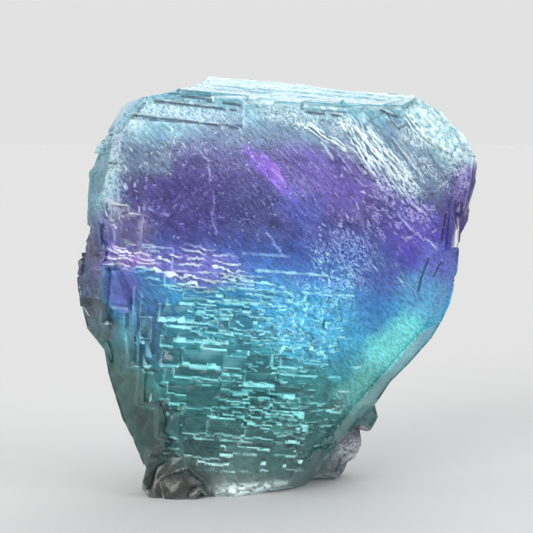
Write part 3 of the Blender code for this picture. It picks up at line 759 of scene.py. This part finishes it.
def plate(relief, surface, corner, size, riser, lift, drop, face_shade, clean=False):
    """A flat plate from its upper left corner; its lower and left edges fall away by drop.

    A clean plate takes the place of what is under it; others only stand proud of it.
    """
    width, height = size
    middle = (corner[0] + 0.5 * width, corner[1] - 0.5 * height)
    place = relief.window(middle, 0.5 * width, 0.5 * height)
    if surface[place].size < LEAST_CELLS:
        return
    from_left = relief.u[place] - corner[0]
    notches = NOTCH_SHARE * height * relief.rng.integers(0, NOTCH_STEPS, int(width / NOTCH_WIDTH) + 2)
    notch = notches[np.clip(from_left / NOTCH_WIDTH, 0.0, len(notches) - 1.0).astype(int)]
    above_foot = relief.v[place] - corner[1] + height - notch
    rise = np.minimum(above_foot / riser, from_left / (LEFT_RISER_SHARE * riser))
    level = np.quantile(relief.solid[place], LEVEL_SHARE) + lift
    block = level + drop * (1.0 - np.clip(rise, 0.0, 1.0))
    on_top = block < surface[place]
    if clean:
        on_top = rise > 0.0
    surface[place] = np.where(on_top, block, surface[place])
    # A dark rim of painted shadow along the face's edges, and frost and painted highlight on the risers
    below_top = corner[1] - relief.v[place]
    shadow_rim = (np.abs(rise - 1.0) < EDGE_RIM * relief.cell / riser) | (below_top < TOP_RIM * relief.cell)
    # Painted shade on the plate's face
    shade = np.where(rise > 1.0, face_shade, 0.0)
    shade = np.where(shadow_rim, PLATE_RIM_SHADE, shade)
    from_foot = above_foot / riser < from_left / (LEFT_RISER_SHARE * riser)
    frost_and_highlight = np.where(from_foot, PLATE_FROST_AND_HIGHLIGHT, PLATE_LEFT_FROST_AND_HIGHLIGHT) * (rise <= 1.0) * (1.0 - shadow_rim)
    relief.shade[place] = np.where(on_top, shade, relief.shade[place])
    relief.frost_and_highlight[place] = np.where(on_top, frost_and_highlight, relief.frost_and_highlight[place])


def plate_rows(relief, centre, radii, row_height, width, left_out, drop):
    """Rows of plates of uneven sizes on an oval part of the side, like bricks."""
    rng = relief.rng
    surface = relief.depth + drop * relief.oval(centre, radii, 0.0, SOFT["rows"])
    middle = relief.on_grid(*centre)
    top = middle[1] + radii[1]
    while top > middle[1] - radii[1]:
        height = rng.uniform(*row_height)
        half_chord = radii[0] * math.sqrt(max(0.0, 1.0 - ((top - middle[1]) / radii[1]) ** 2))
        left = middle[0] - half_chord - rng.uniform(0.0, width[0])
        while left < middle[0] + half_chord:
            wide = rng.uniform(*width)
            corner = (left, top + PLATE_JITTER * height * rng.uniform(-1.0, 1.0))
            riser = height * rng.uniform(*PLATE_RISER_SHARE) + relief.cell
            tall = height * rng.uniform(*PLATE_TALL)
            lift = rng.uniform(*PLATE_LIFT)
            face_shade = rng.uniform(*PLATE_FACE_SHADE)
            if rng.random() > left_out:
                plate(relief, surface, corner, (wide, tall), riser, lift, drop, face_shade)
            left += wide
        top -= height
    relief.depth = surface
    relief.stay_inside()


def lamellae(relief, centre, radii, degrees, pitch, height):
    """Thin wavy layers whose lower edges stand proud."""
    rng = relief.rng
    mask = relief.oval(centre, radii, degrees, SOFT["layers"])
    along, beside = turned(relief.x - centre[0], relief.z - centre[1], degrees)
    wave = sum(swing * fractal(rng, along, beside, *noise) for swing, *noise in LAYER_WAVES)
    layer = (beside + wave) / pitch
    share = layer - np.floor(layer)
    strength = mask * patches(rng, along, beside, *LAYER_WHOLE)
    riser = np.clip(1.0 - share / LAYER_RISER, 0.0, 1.0)
    face = LAYER_SLOPE * np.clip((share - LAYER_RISER) / (1.0 - LAYER_RISER), 0.0, 1.0)
    relief.depth += height * (LAYER_LEAST * mask + (1.0 - LAYER_LEAST) * strength) * (riser + face)
    # Frost and painted highlight on the risers, a painted shadow in the gap above each, painted shade on the
    # faces
    relief.add_frost_and_highlight(strength * (riser > 0.0))
    relief.add_shade(GAP_SHADE * strength * (share > GAP_START))
    relief.add_shade(LAYER_SHADE * strength * (share > LAYER_RISER))


def crinkles(relief, centre, radii, size, height):
    """Small sharp wrinkles in all directions: frost and painted highlight on crests, painted shade in dips.
    """
    mask = relief.oval(centre, radii, CRINKLE_TURN, SOFT["crinkles"])
    crest = 0.0
    for share, wide, high in CRINKLE_SIZES:
        crest = crest + share * ridged(relief.fractal(wide * size, high * size, CRINKLE_OCTAVES))
    relief.depth += height * mask * (1.0 - crest)
    relief.add_frost_and_highlight(CRINKLE_FROST_AND_HIGHLIGHT * mask * smooth(*CRINKLE_CREST, crest))
    relief.add_shade(CRINKLE_SHADE * mask * smooth(*CRINKLE_DIP, crest))


def strands(relief, centre, radii, degrees, size, height, frost_and_highlight):
    """Torn fibres that run along one direction, with frost and painted highlights on their crests."""
    rng = relief.rng
    mask = relief.oval(centre, radii, degrees, SOFT["strands"])
    along, beside = turned(relief.x, relief.z, degrees)
    bend = STRAND_BEND * fractal(rng, along, beside, *STRAND_BENDS)
    crest = ridged(fractal(rng, along, beside + bend, *size, STRAND_OCTAVES))
    relief.depth += height * mask * (1.0 - crest)
    whole = patches(rng, along, beside, *STRAND_WHOLE)
    relief.add_frost_and_highlight(frost_and_highlight * mask * whole * smooth(*STRAND_CREST, crest))


def bundle(relief, points):
    """A few thin bright fibres side by side, frost and painted highlight, each with a painted shadow below.
    """
    for _ in range(FIBRES):
        shift_x, shift_z = relief.rng.uniform(-FIBRE_SPREAD, FIBRE_SPREAD, 2)
        fibre = [(x + shift_x, z + shift_z) for x, z in points]
        below = [(x, z - PARTNER_DROP) for x, z in fibre]
        relief.line(below, FIBRE_WIDTH, groove=FIBRE_GROOVE, shade=FIBRE_SHADE)
        relief.line(fibre, FIBRE_WIDTH, bend=FIBRE_BEND, frost_and_highlight=1.0)


def hackles(relief, centre, radii, degrees, height, strength):
    """A place of fine grains and crests."""
    rng = relief.rng
    along, beside = turned(relief.x, relief.z, degrees)
    cluster = patches(rng, along, beside, *HACKLE_CLUSTERS)
    mask = relief.oval(centre, radii, degrees, SOFT["hackles"]) * (CALM_SHARE + (1.0 - CALM_SHARE) * cluster)
    relief.depth += height * mask * fractal(rng, along, beside, *HACKLE_GRAINS)
    relief.hackle = np.maximum(relief.hackle, strength * mask)


def ripples(relief, centre, origin, radii, degrees, pitch, height):
    """Curved ripples around an origin, as on a broken face."""
    mask = relief.oval(centre, radii, degrees, SOFT["ripples"])
    reach = np.hypot(relief.x - origin[0], relief.z - origin[1])
    reach += RIPPLE_BEND * fractal(relief.rng, relief.x, relief.z, *RIPPLE_NOISE)
    wave = 0.5 + 0.5 * np.sin(reach * 2.0 * math.pi / pitch)
    relief.depth += height * mask * wave ** 2


def scratches(relief, count, centre, radii, degrees, spread, length, frost_and_highlight, shade):
    """Short bright marks of frost and painted highlight, with a painted shadow below where shade says so."""
    rng = relief.rng
    bend = SCRATCH_BEND * relief.fractal(*SCRATCH_NOISE)
    whole = relief.patches(*SCRATCH_WHOLE)
    for _ in range(count):
        radius = math.sqrt(rng.random())
        angle = rng.uniform(0.0, 2.0 * math.pi)
        x = centre[0] + radii[0] * radius * math.cos(angle)
        z = centre[1] + radii[1] * radius * math.sin(angle)
        turn = math.radians(degrees + rng.uniform(-spread, spread))
        half = 0.5 * rng.uniform(*length)
        place = relief.window(relief.on_grid(x, z), half + SCRATCH_MARGIN, half + SCRATCH_MARGIN)
        start = (x - half * math.cos(turn), z + half * math.sin(turn))
        end = (x + half * math.cos(turn), z - half * math.sin(turn))
        bent = relief.z[place] + bend[place] - 0.5 * SCRATCH_BEND
        wide = SHORT_WIDTH + LONG_WIDER * half
        near = segment_reach(relief.x[place], bent, start, end) / wide
        below = segment_reach(relief.x[place], bent + PARTNER_DROP * wide, start, end) / wide
        mask = whole[place] * (1.0 - smooth(*SCRATCH_WIDTH, near))
        relief.add_shade(shade * (1.0 - smooth(*SCRATCH_WIDTH, below)), place)
        relief.add_frost_and_highlight(frost_and_highlight * rng.uniform(*SCRATCH_STRENGTH) * mask, place)
        relief.shade[place] *= 1.0 - mask
        relief.depth[place] += SCRATCH_GROOVE * mask


def frosted_and_lit(relief, centre, radii, degrees, strength):
    """A frosted place with a speckled edge, whitened as frost and as painted light."""
    mask = relief.oval(centre, radii, degrees, SOFT["frosted_and_lit"])
    along, beside = turned(relief.x, relief.z, degrees)
    speckle = fractal(relief.rng, along, beside, *FROST_GRAINS)
    relief.add_frost_and_highlight(strength * mask * smooth(*FROST_SPECKLE, speckle))
    relief.depth += FROST_HEIGHT * mask * speckle
    relief.hackle = np.maximum(relief.hackle, FROST_HACKLE * mask)


def terraces(relief, share=1.0):
    """Overlapping rectangles with torn edges, each a small step down, as on a cleaved side."""
    rng = relief.rng
    bend_u = relief.u + TERRACE_BEND * relief.fractal(*TERRACE_NOISE)
    bend_v = relief.v + TERRACE_BEND * relief.fractal(*TERRACE_NOISE)
    steps = np.zeros_like(relief.depth)
    for _ in range(TERRACES):
        half_u = 0.5 * rng.uniform(*TERRACE_WIDTH)
        half_v = 0.5 * rng.uniform(*TERRACE_HEIGHT)
        off_u = np.abs(bend_u - rng.uniform(relief.columns[0], relief.columns[-1]))
        off_v = np.abs(bend_v - rng.uniform(relief.rows[0], relief.rows[-1]))
        steps += rng.uniform(*TERRACE_STEP) * ((off_u < half_u) & (off_v < half_v))
    relief.depth += share * np.minimum(steps, TERRACE_DEEPEST)


def wear_round(relief, centre, radii, degrees):
    """Round off the facet edges of a worn place."""
    mask = relief.oval(centre, radii, degrees, SOFT["worn"])
    relief.depth += mask * (blurred(relief.depth, WORN_PASSES) - relief.depth)
    relief.stay_inside()


def shape_rows(relief, *jobs):
    """Call each shaping function with the rows of its table."""
    for shape, rows in jobs:
        for row in rows:
            shape(relief, *row)


def front_relief(relief):
    """Everything that shows on the front."""
    shape_rows(relief, (wear_round, WORN), (Relief.waves, FRONT_WAVES), (ripples, RIPPLES))
    shape_rows(relief, (plate_rows, PLATE_ROWS))
    for left, top, width, height, riser, face_shade in PLATES:
        corner = relief.on_grid(left, top)
        plate(relief, relief.depth, corner, (width, height), riser, KEEP_INSIDE, PLATE_DROP, face_shade, True)
    shape_rows(relief, (lamellae, LAMELLAE), (crinkles, CRINKLES), (strands, STRANDS))
    for points in BUNDLES:
        bundle(relief, points)
    shape_rows(relief, (hackles, HACKLES), (scratches, SCRATCHES), (frosted_and_lit, FROSTED_AND_LIT))
    # Painted shadows in the gaps under the ledges and in cracks
    for points in PAINTED_SHADOW_LINES:
        relief.line(points, DARK_WIDTH, groove=DARK_GROOVE, shade=1.0)
    # Frost and painted highlight on thin bright edges
    for points, strength in BRIGHT_LINES:
        relief.line(points, BRIGHT_WIDTH, bend=BRIGHT_BEND, frost_and_highlight=strength)
    relief.stay_inside()
    relief.close_risers()


def top_relief(relief):
    """The top: low terraces, waves and grains, frosted and lightened with painted light."""
    relief.waves(*TOP_WAVES)
    terraces(relief, TOP_TERRACES)
    relief.waves(*TOP_GRAINS)
    relief.hackle += TOP_HACKLE + TOP_MORE_HACKLE * relief.patches(*TOP_PATCHES)
    # Frost and painted light over the whole top; painted highlight and shade on its risers
    relief.frost_and_highlight += TOP_FROST_AND_LIGHT
    relief.close_risers(TOP_RISERS)


def plain_relief(relief):
    """The back or a side: cleavage terraces, low waves and a few hackly places, with frost near the top."""
    relief.waves(*PLAIN_WAVES)
    terraces(relief)
    hackly = relief.patches(*PLAIN_PATCHES)
    high = smooth(*FROSTED_ABOVE, relief.v)
    relief.hackle = np.maximum(PLAIN_HACKLE * hackly, HIGH_HACKLE * high)
    relief.depth += PLAIN_GRAIN * relief.hackle * relief.fractal(*PLAIN_GRAINS)
    relief.add_frost_and_highlight(PLAIN_FROST * high * relief.patches(*PLAIN_SPECKLE))
    # Painted highlight and shade on the risers, by the way they face
    relief.close_risers(PLAIN_RISERS)


def slab(side, columns, rows, depth):
    """A closed block whose near face is the relief; its other faces are outside the crystal."""
    across = np.array(side.across)
    up = np.array(side.up)
    look = np.array(side.look)
    height, width = depth.shape
    place_u, place_v = np.meshgrid(columns, rows)
    near = place_u[..., None] * across + place_v[..., None] * up + depth[..., None] * look
    index = np.arange(height * width).reshape(height, width)
    border = np.concatenate([index[0, :-1], index[:-1, -1], index[-1, :0:-1], index[:0:-1, 0]])
    flat = near.reshape(-1, 3)
    far = flat[border] + (SLAB_END - flat[border] @ look)[:, None] * look
    quads = np.stack([index[:-1, :-1], index[:-1, 1:], index[1:, 1:], index[1:, :-1]], axis=-1)
    count = len(border)
    here = np.arange(count)
    after = (here + 1) % count
    walls = np.stack([border[after], border[here], height * width + here, height * width + after], axis=-1)
    end = (height * width + here[::-1]).tolist()
    mesh = bpy.data.meshes.new(side.name + "_slab")
    points = (np.concatenate([flat, far]) * MM).tolist()
    mesh.from_pydata(points, [], quads.reshape(-1, 4).tolist() + walls.tolist() + [end])
    return put_in_scene(side.name + "_slab", mesh)


def carve(rng, tree, side, shape):
    """The relief of one side and its slab."""
    columns, rows = grid_axes(side)
    depth = neighbours(fill_misses(cast_depths(tree, side, columns, rows))).max(axis=0)
    relief = Relief(rng, side, columns, rows, depth)
    shape(relief)
    fall_v, fall_u = np.gradient(blurred(depth, FALL_BLUR), side.cell)
    low, high = STEEP_EDGE
    steep = smooth(low * side.steepest, high * side.steepest, np.hypot(fall_v, fall_u))
    for _ in range(STEEP_MARGIN):
        steep = neighbours(steep).max(axis=0)
    relief.depth -= STEP_OUT * steep
    return relief, slab(side, columns, rows, relief.depth)


def crystal_copy():
    """A closed copy of the CAD solid, to be carved."""
    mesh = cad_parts[NODE].data.copy()
    mesh.materials.clear()
    bm = bmesh.new()
    bm.from_mesh(mesh)
    bmesh.ops.remove_doubles(bm, verts=bm.verts, dist=WELD)
    bm.to_mesh(mesh)
    bm.free()
    return put_in_scene("fluorite_visual", mesh)


def apply_modifiers(obj):
    """Give the object the mesh that its modifiers make, and drop them."""
    bpy.context.view_layer.update()
    graph = bpy.context.evaluated_depsgraph_get()
    mesh = bpy.data.meshes.new_from_object(obj.evaluated_get(graph))
    obj.modifiers.clear()
    obj.data = mesh
    return mesh


def drop_splinters(mesh):
    """Delete the loose splinters that the cuts leave, all but the biggest body."""
    bm = bmesh.new()
    bm.from_mesh(mesh)
    bodies = []
    unseen = set(bm.verts)
    while unseen:
        front = [unseen.pop()]
        body = list(front)
        while front:
            vert = front.pop()
            for edge in vert.link_edges:
                other = edge.other_vert(vert)
                if other in unseen:
                    unseen.remove(other)
                    front.append(other)
                    body.append(other)
        bodies.append(body)
    bodies.sort(key=len)
    for body in bodies[:-1]:
        bmesh.ops.delete(bm, geom=body, context="VERTS")
    bm.to_mesh(mesh)
    bm.free()


def sampled(relief, field, u, v):
    """The field between the grid's points."""
    column = np.clip((u - relief.columns[0]) / relief.cell, 0.0, len(relief.columns) - READ_MARGIN)
    row = np.clip((v - relief.rows[0]) / relief.cell, 0.0, len(relief.rows) - READ_MARGIN)
    left = column.astype(int)
    low = row.astype(int)
    share_u = column - left
    share_v = row - low
    bottom = field[low, left] * (1.0 - share_u) + field[low, left + 1] * share_u
    top = field[low + 1, left] * (1.0 - share_u) + field[low + 1, left + 1] * share_u
    return bottom * (1.0 - share_v) + top * share_v


def paint(mesh, reliefs):
    """Carry each relief's painted fields to the vertices that lie on it."""
    flat = np.empty(3 * len(mesh.vertices), np.float32)
    mesh.vertices.foreach_get("co", flat)
    points = flat.reshape(-1, 3).astype(float) / MM
    painted = {name: np.zeros(len(points)) for name in PAINTED}
    for side, relief in reliefs:
        u = points @ np.array(side.across)
        v = points @ np.array(side.up)
        reach = points @ np.array(side.look)
        near = np.abs(reach - sampled(relief, relief.depth, u, v)) < PAINT_REACH
        for name, values in painted.items():
            painted[name] = np.where(near, sampled(relief, getattr(relief, name), u, v), values)
    for name, values in painted.items():
        attribute = mesh.attributes.new(name, "FLOAT", "POINT")
        attribute.data.foreach_set("value", values.astype(np.float32))


def make_crystal():
    """The visible crystal: the CAD solid carved by the relief of each side."""
    rng = np.random.default_rng(SEED)
    tree = crystal_tree()
    crystal = crystal_copy()
    shapes = [
        (LEFT, plain_relief),
        (RIGHT, plain_relief),
        (BACK, plain_relief),
        (TOP, top_relief),
        (FRONT, front_relief),
    ]
    reliefs = []
    slabs = []
    for side, shape in shapes:
        relief, tool = carve(rng, tree, side, shape)
        reliefs.append((side, relief))
        slabs.append(tool)
        modifier = crystal.modifiers.new(tool.name, "BOOLEAN")
        modifier.object = tool
        modifier.operation = "INTERSECT"
        modifier.solver = "MANIFOLD"
    mesh = apply_modifiers(crystal)
    for tool in slabs:
        bpy.data.objects.remove(tool)
    mesh.calc_loop_triangles()
    count = len(mesh.loop_triangles)
    if count > TRIANGLE_LIMIT:
        thin = crystal.modifiers.new("thin", "DECIMATE")
        thin.ratio = TRIANGLE_LIMIT / count
        mesh = apply_modifiers(crystal)
    drop_splinters(mesh)
    paint(mesh, reliefs)
    return crystal


class Graph:
    """Short ways to make and link the nodes of one material."""

    def __init__(self, tree):
        self.tree = tree

    def put(self, node, name, value):
        """Link a socket to an input, or set the input to a value."""
        if isinstance(value, bpy.types.NodeSocket):
            self.tree.links.new(value, node.inputs[name])
        else:
            node.inputs[name].default_value = value

    def add(self, kind, inputs=(), **settings):
        """A node with its settings, and its inputs linked or set by name or number."""
        node = self.tree.nodes.new(kind)
        for name, value in settings.items():
            setattr(node, name, value)
        for name, value in dict(inputs).items():
            self.put(node, name, value)
        return node

    def math(self, operation, first, second=0.0, third=0.0, clamp=False):
        """The value of a Math node."""
        inputs = {0: first, 1: second, 2: third}
        return self.add("ShaderNodeMath", inputs, operation=operation, use_clamp=clamp).outputs[0]

    def vector(self, operation, first, second=(0.0, 0.0, 0.0), output=0):
        """The result of a Vector Math node."""
        node = self.add("ShaderNodeVectorMath", {0: first, 1: second}, operation=operation)
        return node.outputs[output]

    def blend(self, share, first, second, blend_type="MIX"):
        """One colour mixed into another."""
        inputs = {0: share, 6: first, 7: second}
        return self.add("ShaderNodeMix", inputs, data_type="RGBA", blend_type=blend_type).outputs[2]

    def step(self, value, low, high, bottom=0.0, top=1.0):
        """A smooth step between two values."""
        inputs = {"Value": value, "From Min": low, "From Max": high, "To Min": bottom, "To Max": top}
        return self.add("ShaderNodeMapRange", inputs, interpolation_type="SMOOTHSTEP").outputs[0]

    def grey(self, value):
        """A value as a colour."""
        return self.add("ShaderNodeCombineColor", {0: value, 1: value, 2: value}).outputs[0]

    def mix(self, share, first, second):
        """One value mixed into another."""
        inputs = {0: share, 2: first, 3: second}
        return self.add("ShaderNodeMix", inputs, data_type="FLOAT").outputs[0]

    def painted(self, name):
        """A field painted on the mesh."""
        return self.add("ShaderNodeAttribute", attribute_name=name).outputs["Fac"]

    def noise(self, place, scale, detail, roughness=0.5, output=0):
        """Fractal noise from 0 to 1; scale is the number of its cells for each unit of the place."""
        inputs = {"Vector": place, "Scale": scale, "Detail": detail, "Roughness": roughness}
        return self.add("ShaderNodeTexNoise", inputs).outputs[output]

    def inside(self, place, location, rotation, scale):
        """The place in the axes of a box that is moved, turned and stretched."""
        inputs = {"Vector": place, "Location": location, "Rotation": rotation, "Scale": scale}
        return self.add("ShaderNodeMapping", inputs, vector_type="TEXTURE").outputs[0]

    def oval(self, place, centre, radii, degrees, inner, outer, strength=1.0):
        """The strength inside an oval and 0 outside."""
        near = self.inside(place, centre, (0.0, math.radians(degrees), 0.0), radii)
        return self.step(self.vector("LENGTH", near, output=1), inner, outer, strength, 0.0)

    def marks(self, place, turn, size, detail, roughness):
        """Noise with cells of a size, turned clockwise as seen from the front."""
        cells = self.inside(place, (0.0, 0.0, 0.0), (0.0, turn, 0.0), size)
        return self.noise(cells, 1.0, detail, roughness)


def colour(code):
    """Linear colour of a six-digit sRGB code."""
    parts = [int(code[start:start + 2], 16) / 255.0 for start in (0, 2, 4)]
    linear = [part / 12.92 if part <= 0.04045 else ((part + 0.055) / 1.055) ** 2.4 for part in parts]
    return (*linear, 1.0)


def all_zones():
    """The zones that run through the crystal and then the shallow ones, in the order of mixing."""
    zones = []
    for _, (x, z), (wide, high), *looks in ZONES:
        zones.append(((x, 0.0, z), (wide, THROUGH, high), *looks))
    for _, *zone in SHALLOW_ZONES:
        zones.append(zone)
    return zones


def zoned_colour(graph, warped):
    """Colour bands over the height, with softer zones on them."""
    parts = graph.add("ShaderNodeSeparateXYZ", {0: warped})
    level = graph.math("MULTIPLY_ADD", parts.outputs[0], math.tan(TILT), parts.outputs[2])
    ramp = graph.add("ShaderNodeValToRGB", {0: graph.math("DIVIDE", level, BAND_TOP, clamp=True)})
    elements = ramp.color_ramp.elements
    for element, (band, code) in zip(elements, (BANDS[0], BANDS[-1])):
        element.position = band / BAND_TOP
        element.color = colour(code)
    for band, code in BANDS[1:-1]:
        element = elements.new(band / BAND_TOP)
        element.color = colour(code)
    result = ramp.outputs[0]
    for centre, radii, degrees, code, strength in all_zones():
        mask = graph.oval(warped, centre, radii, degrees, *ZONE_SOFT, strength)
        result = graph.blend(mask, result, colour(code))
    return result


def fluorite_material():
    """Clear zoned stone: frost and painted highlight on its risers and rims, painted shade, etched faces."""
    material = bpy.data.materials.new("fluorite_zoned")
    material.use_nodes = True
    tree = material.node_tree
    shader = tree.nodes["Principled BSDF"]
    graph = Graph(tree)
    place = graph.vector("SCALE", graph.add("ShaderNodeTexCoord").outputs["Object"])
    place.node.inputs["Scale"].default_value = 1.0 / MM
    drift = graph.noise(place, DRIFT_SCALE, DRIFT_DETAIL, output=1)
    drift = graph.vector("MULTIPLY", graph.vector("SUBTRACT", drift, (0.5, 0.5, 0.5)), (DRIFT, DRIFT, DRIFT))
    stone = zoned_colour(graph, graph.vector("ADD", place, drift))
    layered = graph.oval(place, *LAYERED)
    etch = graph.mix(layered, graph.marks(place, *ETCH_NOISE), graph.marks(place, *LAYER_NOISE))
    stone = graph.blend(1.0, stone, graph.grey(graph.step(etch, *ETCH_STEP, *ETCH_TONE)), "MULTIPLY")
    stone = graph.add("ShaderNodeHueSaturation", {"Saturation": STONE_SATURATION, "Color": stone}).outputs[0]
    # Bright colour of frost and painted highlights
    bright = graph.add("ShaderNodeGamma", {0: stone, 1: FROST_AND_HIGHLIGHT_GAMMA}).outputs[0]
    bright = graph.vector("MULTIPLY", bright, (FROST_AND_HIGHLIGHT_GAIN, FROST_AND_HIGHLIGHT_GAIN, FROST_AND_HIGHLIGHT_GAIN))
    bright = graph.vector("MULTIPLY", graph.vector("MINIMUM", bright, WHITE[:3]), FROST_AND_HIGHLIGHT_TINT)
    bright = graph.blend(FROST_AND_HIGHLIGHT_WHITE, bright, WHITE)
    frost_and_highlight, shade, hackle = [graph.painted(name) for name in PAINTED]
    stranded = graph.oval(place, *STRANDED)
    torn = graph.mix(stranded, graph.marks(place, *HACKLE_NOISE), graph.marks(place, *STRAND_NOISE))
    # Hackle crests take the bright colour as painted glints
    off_crest = graph.math("ABSOLUTE", graph.math("SUBTRACT", torn, 0.5))
    crest = graph.math("MULTIPLY", graph.step(off_crest, *HACKLE_STEP), hackle)
    grain = graph.step(graph.marks(place, *GRAIN_NOISE), *GRAIN_STEP)
    grain = graph.math("MULTIPLY", grain, graph.oval(place, *GRAINY, GRAIN_SHARE))
    # Frost and painted highlights, bright grains and hackle crests take the bright colour
    frosted_and_lit = graph.math("MAXIMUM", graph.math("MAXIMUM", frost_and_highlight, grain), crest)
    stone = graph.blend(frosted_and_lit, stone, bright)
    # Painted shade in the hackle's pits, where there is no frost
    pit_shade = graph.math("MULTIPLY", graph.step(torn, *HACKLE_DARK, 0.0, PIT_SHADE_SHARE), hackle)
    shade = graph.math("MAXIMUM", shade, graph.math("MULTIPLY", pit_shade, graph.math("SUBTRACT", 1.0, frost_and_highlight)))
    # Dark colour of painted shade
    dark = graph.blend(1.0, stone, SHADE_TINT, "MULTIPLY")
    stone = graph.blend(graph.math("MULTIPLY", shade, SHADE_SHARE), stone, dark)
    graph.put(shader, "Base Color", stone)
    graph.put(shader, "Roughness", graph.math("MULTIPLY_ADD", frost_and_highlight, FROST_ROUGHNESS, STONE_ROUGHNESS))
    graph.put(shader, "IOR", STONE_IOR)
    clear = graph.math("MULTIPLY_ADD", frosted_and_lit, -FROST_OPAQUE, STONE_TRANSMISSION)
    graph.put(shader, "Transmission Weight", clear)
    inputs = {"Height": etch, "Distance": ETCH_DEPTH * MM, "Strength": ETCH_STRENGTH}
    graph.put(shader, "Normal", graph.add("ShaderNodeBump", inputs).outputs[0])
    inputs = {"Color": ABSORPTION_COLOUR, "Density": ABSORPTION_DENSITY}
    absorption = graph.add("ShaderNodeVolumeAbsorption", inputs)
    graph.put(tree.nodes["Material Output"], "Volume", absorption.outputs[0])
    return material


def make_floor():
    """A plain pale floor."""
    bm = bmesh.new()
    bmesh.ops.create_circle(bm, cap_ends=True, segments=FLOOR_CORNERS, radius=FLOOR_RADIUS * MM)
    mesh = bpy.data.meshes.new("floor")
    bm.to_mesh(mesh)
    bm.free()
    floor = put_in_scene("floor", mesh)
    material = bpy.data.materials.new("floor")
    material.use_nodes = True
    shader = material.node_tree.nodes["Principled BSDF"]
    shader.inputs["Base Color"].default_value = (FLOOR_TONE, FLOOR_TONE, FLOOR_TONE, 1.0)
    shader.inputs["Roughness"].default_value = FLOOR_ROUGHNESS
    shader.inputs["Specular IOR Level"].default_value = 0.0
    mesh.materials.append(material)


def make_sky():
    """Soft studio surroundings: pale at the horizon and brighter overhead."""
    world = bpy.data.worlds.new("studio")
    bpy.context.scene.world = world
    world.use_nodes = True
    graph = Graph(world.node_tree)
    direction = graph.add("ShaderNodeTexCoord").outputs["Generated"]
    height = graph.add("ShaderNodeSeparateXYZ", {0: direction}).outputs[2]
    tone = graph.step(height, *SKY_RISE, *SKY_TONES)
    graph.put(world.node_tree.nodes["Background"], "Color", graph.grey(tone))


def make_lights():
    """Soft lamps so far away that the floor has no pools of light."""
    for name, direction, width, strength, tint in LIGHTS:
        lamp = bpy.data.lights.new(name, "SUN")
        lamp.angle = math.radians(width)
        lamp.energy = strength
        lamp.color = tint
        obj = put_in_scene(name, lamp)
        obj.rotation_euler = Vector(direction).to_track_quat("Z", "Y").to_euler()


def make_camera():
    """The camera at the photo's viewing angle."""
    data = bpy.data.cameras.new("camera")
    data.lens = CAMERA_LENS
    data.clip_start = CAMERA_NEAR * MM
    camera = put_in_scene("camera", data)
    target = Vector(CAMERA_TARGET) * MM
    back_off = Vector((0.0, -math.cos(CAMERA_ELEVATION), math.sin(CAMERA_ELEVATION)))
    camera.location = target + back_off * CAMERA_DISTANCE * MM
    camera.rotation_euler = (-back_off).to_track_quat("-Z", "Y").to_euler()
    bpy.context.scene.camera = camera


make_camera()
make_floor()
make_sky()
make_lights()
crystal = make_crystal()
crystal.data.materials.clear()
crystal.data.materials.append(fluorite_material())
crystal.data.shade_smooth()
crystal.data.set_sharp_from_angle(angle=SHARP_ANGLE)
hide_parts(NODE)
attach(crystal, "root")
bpy.context.scene.view_settings.view_transform = "Standard"
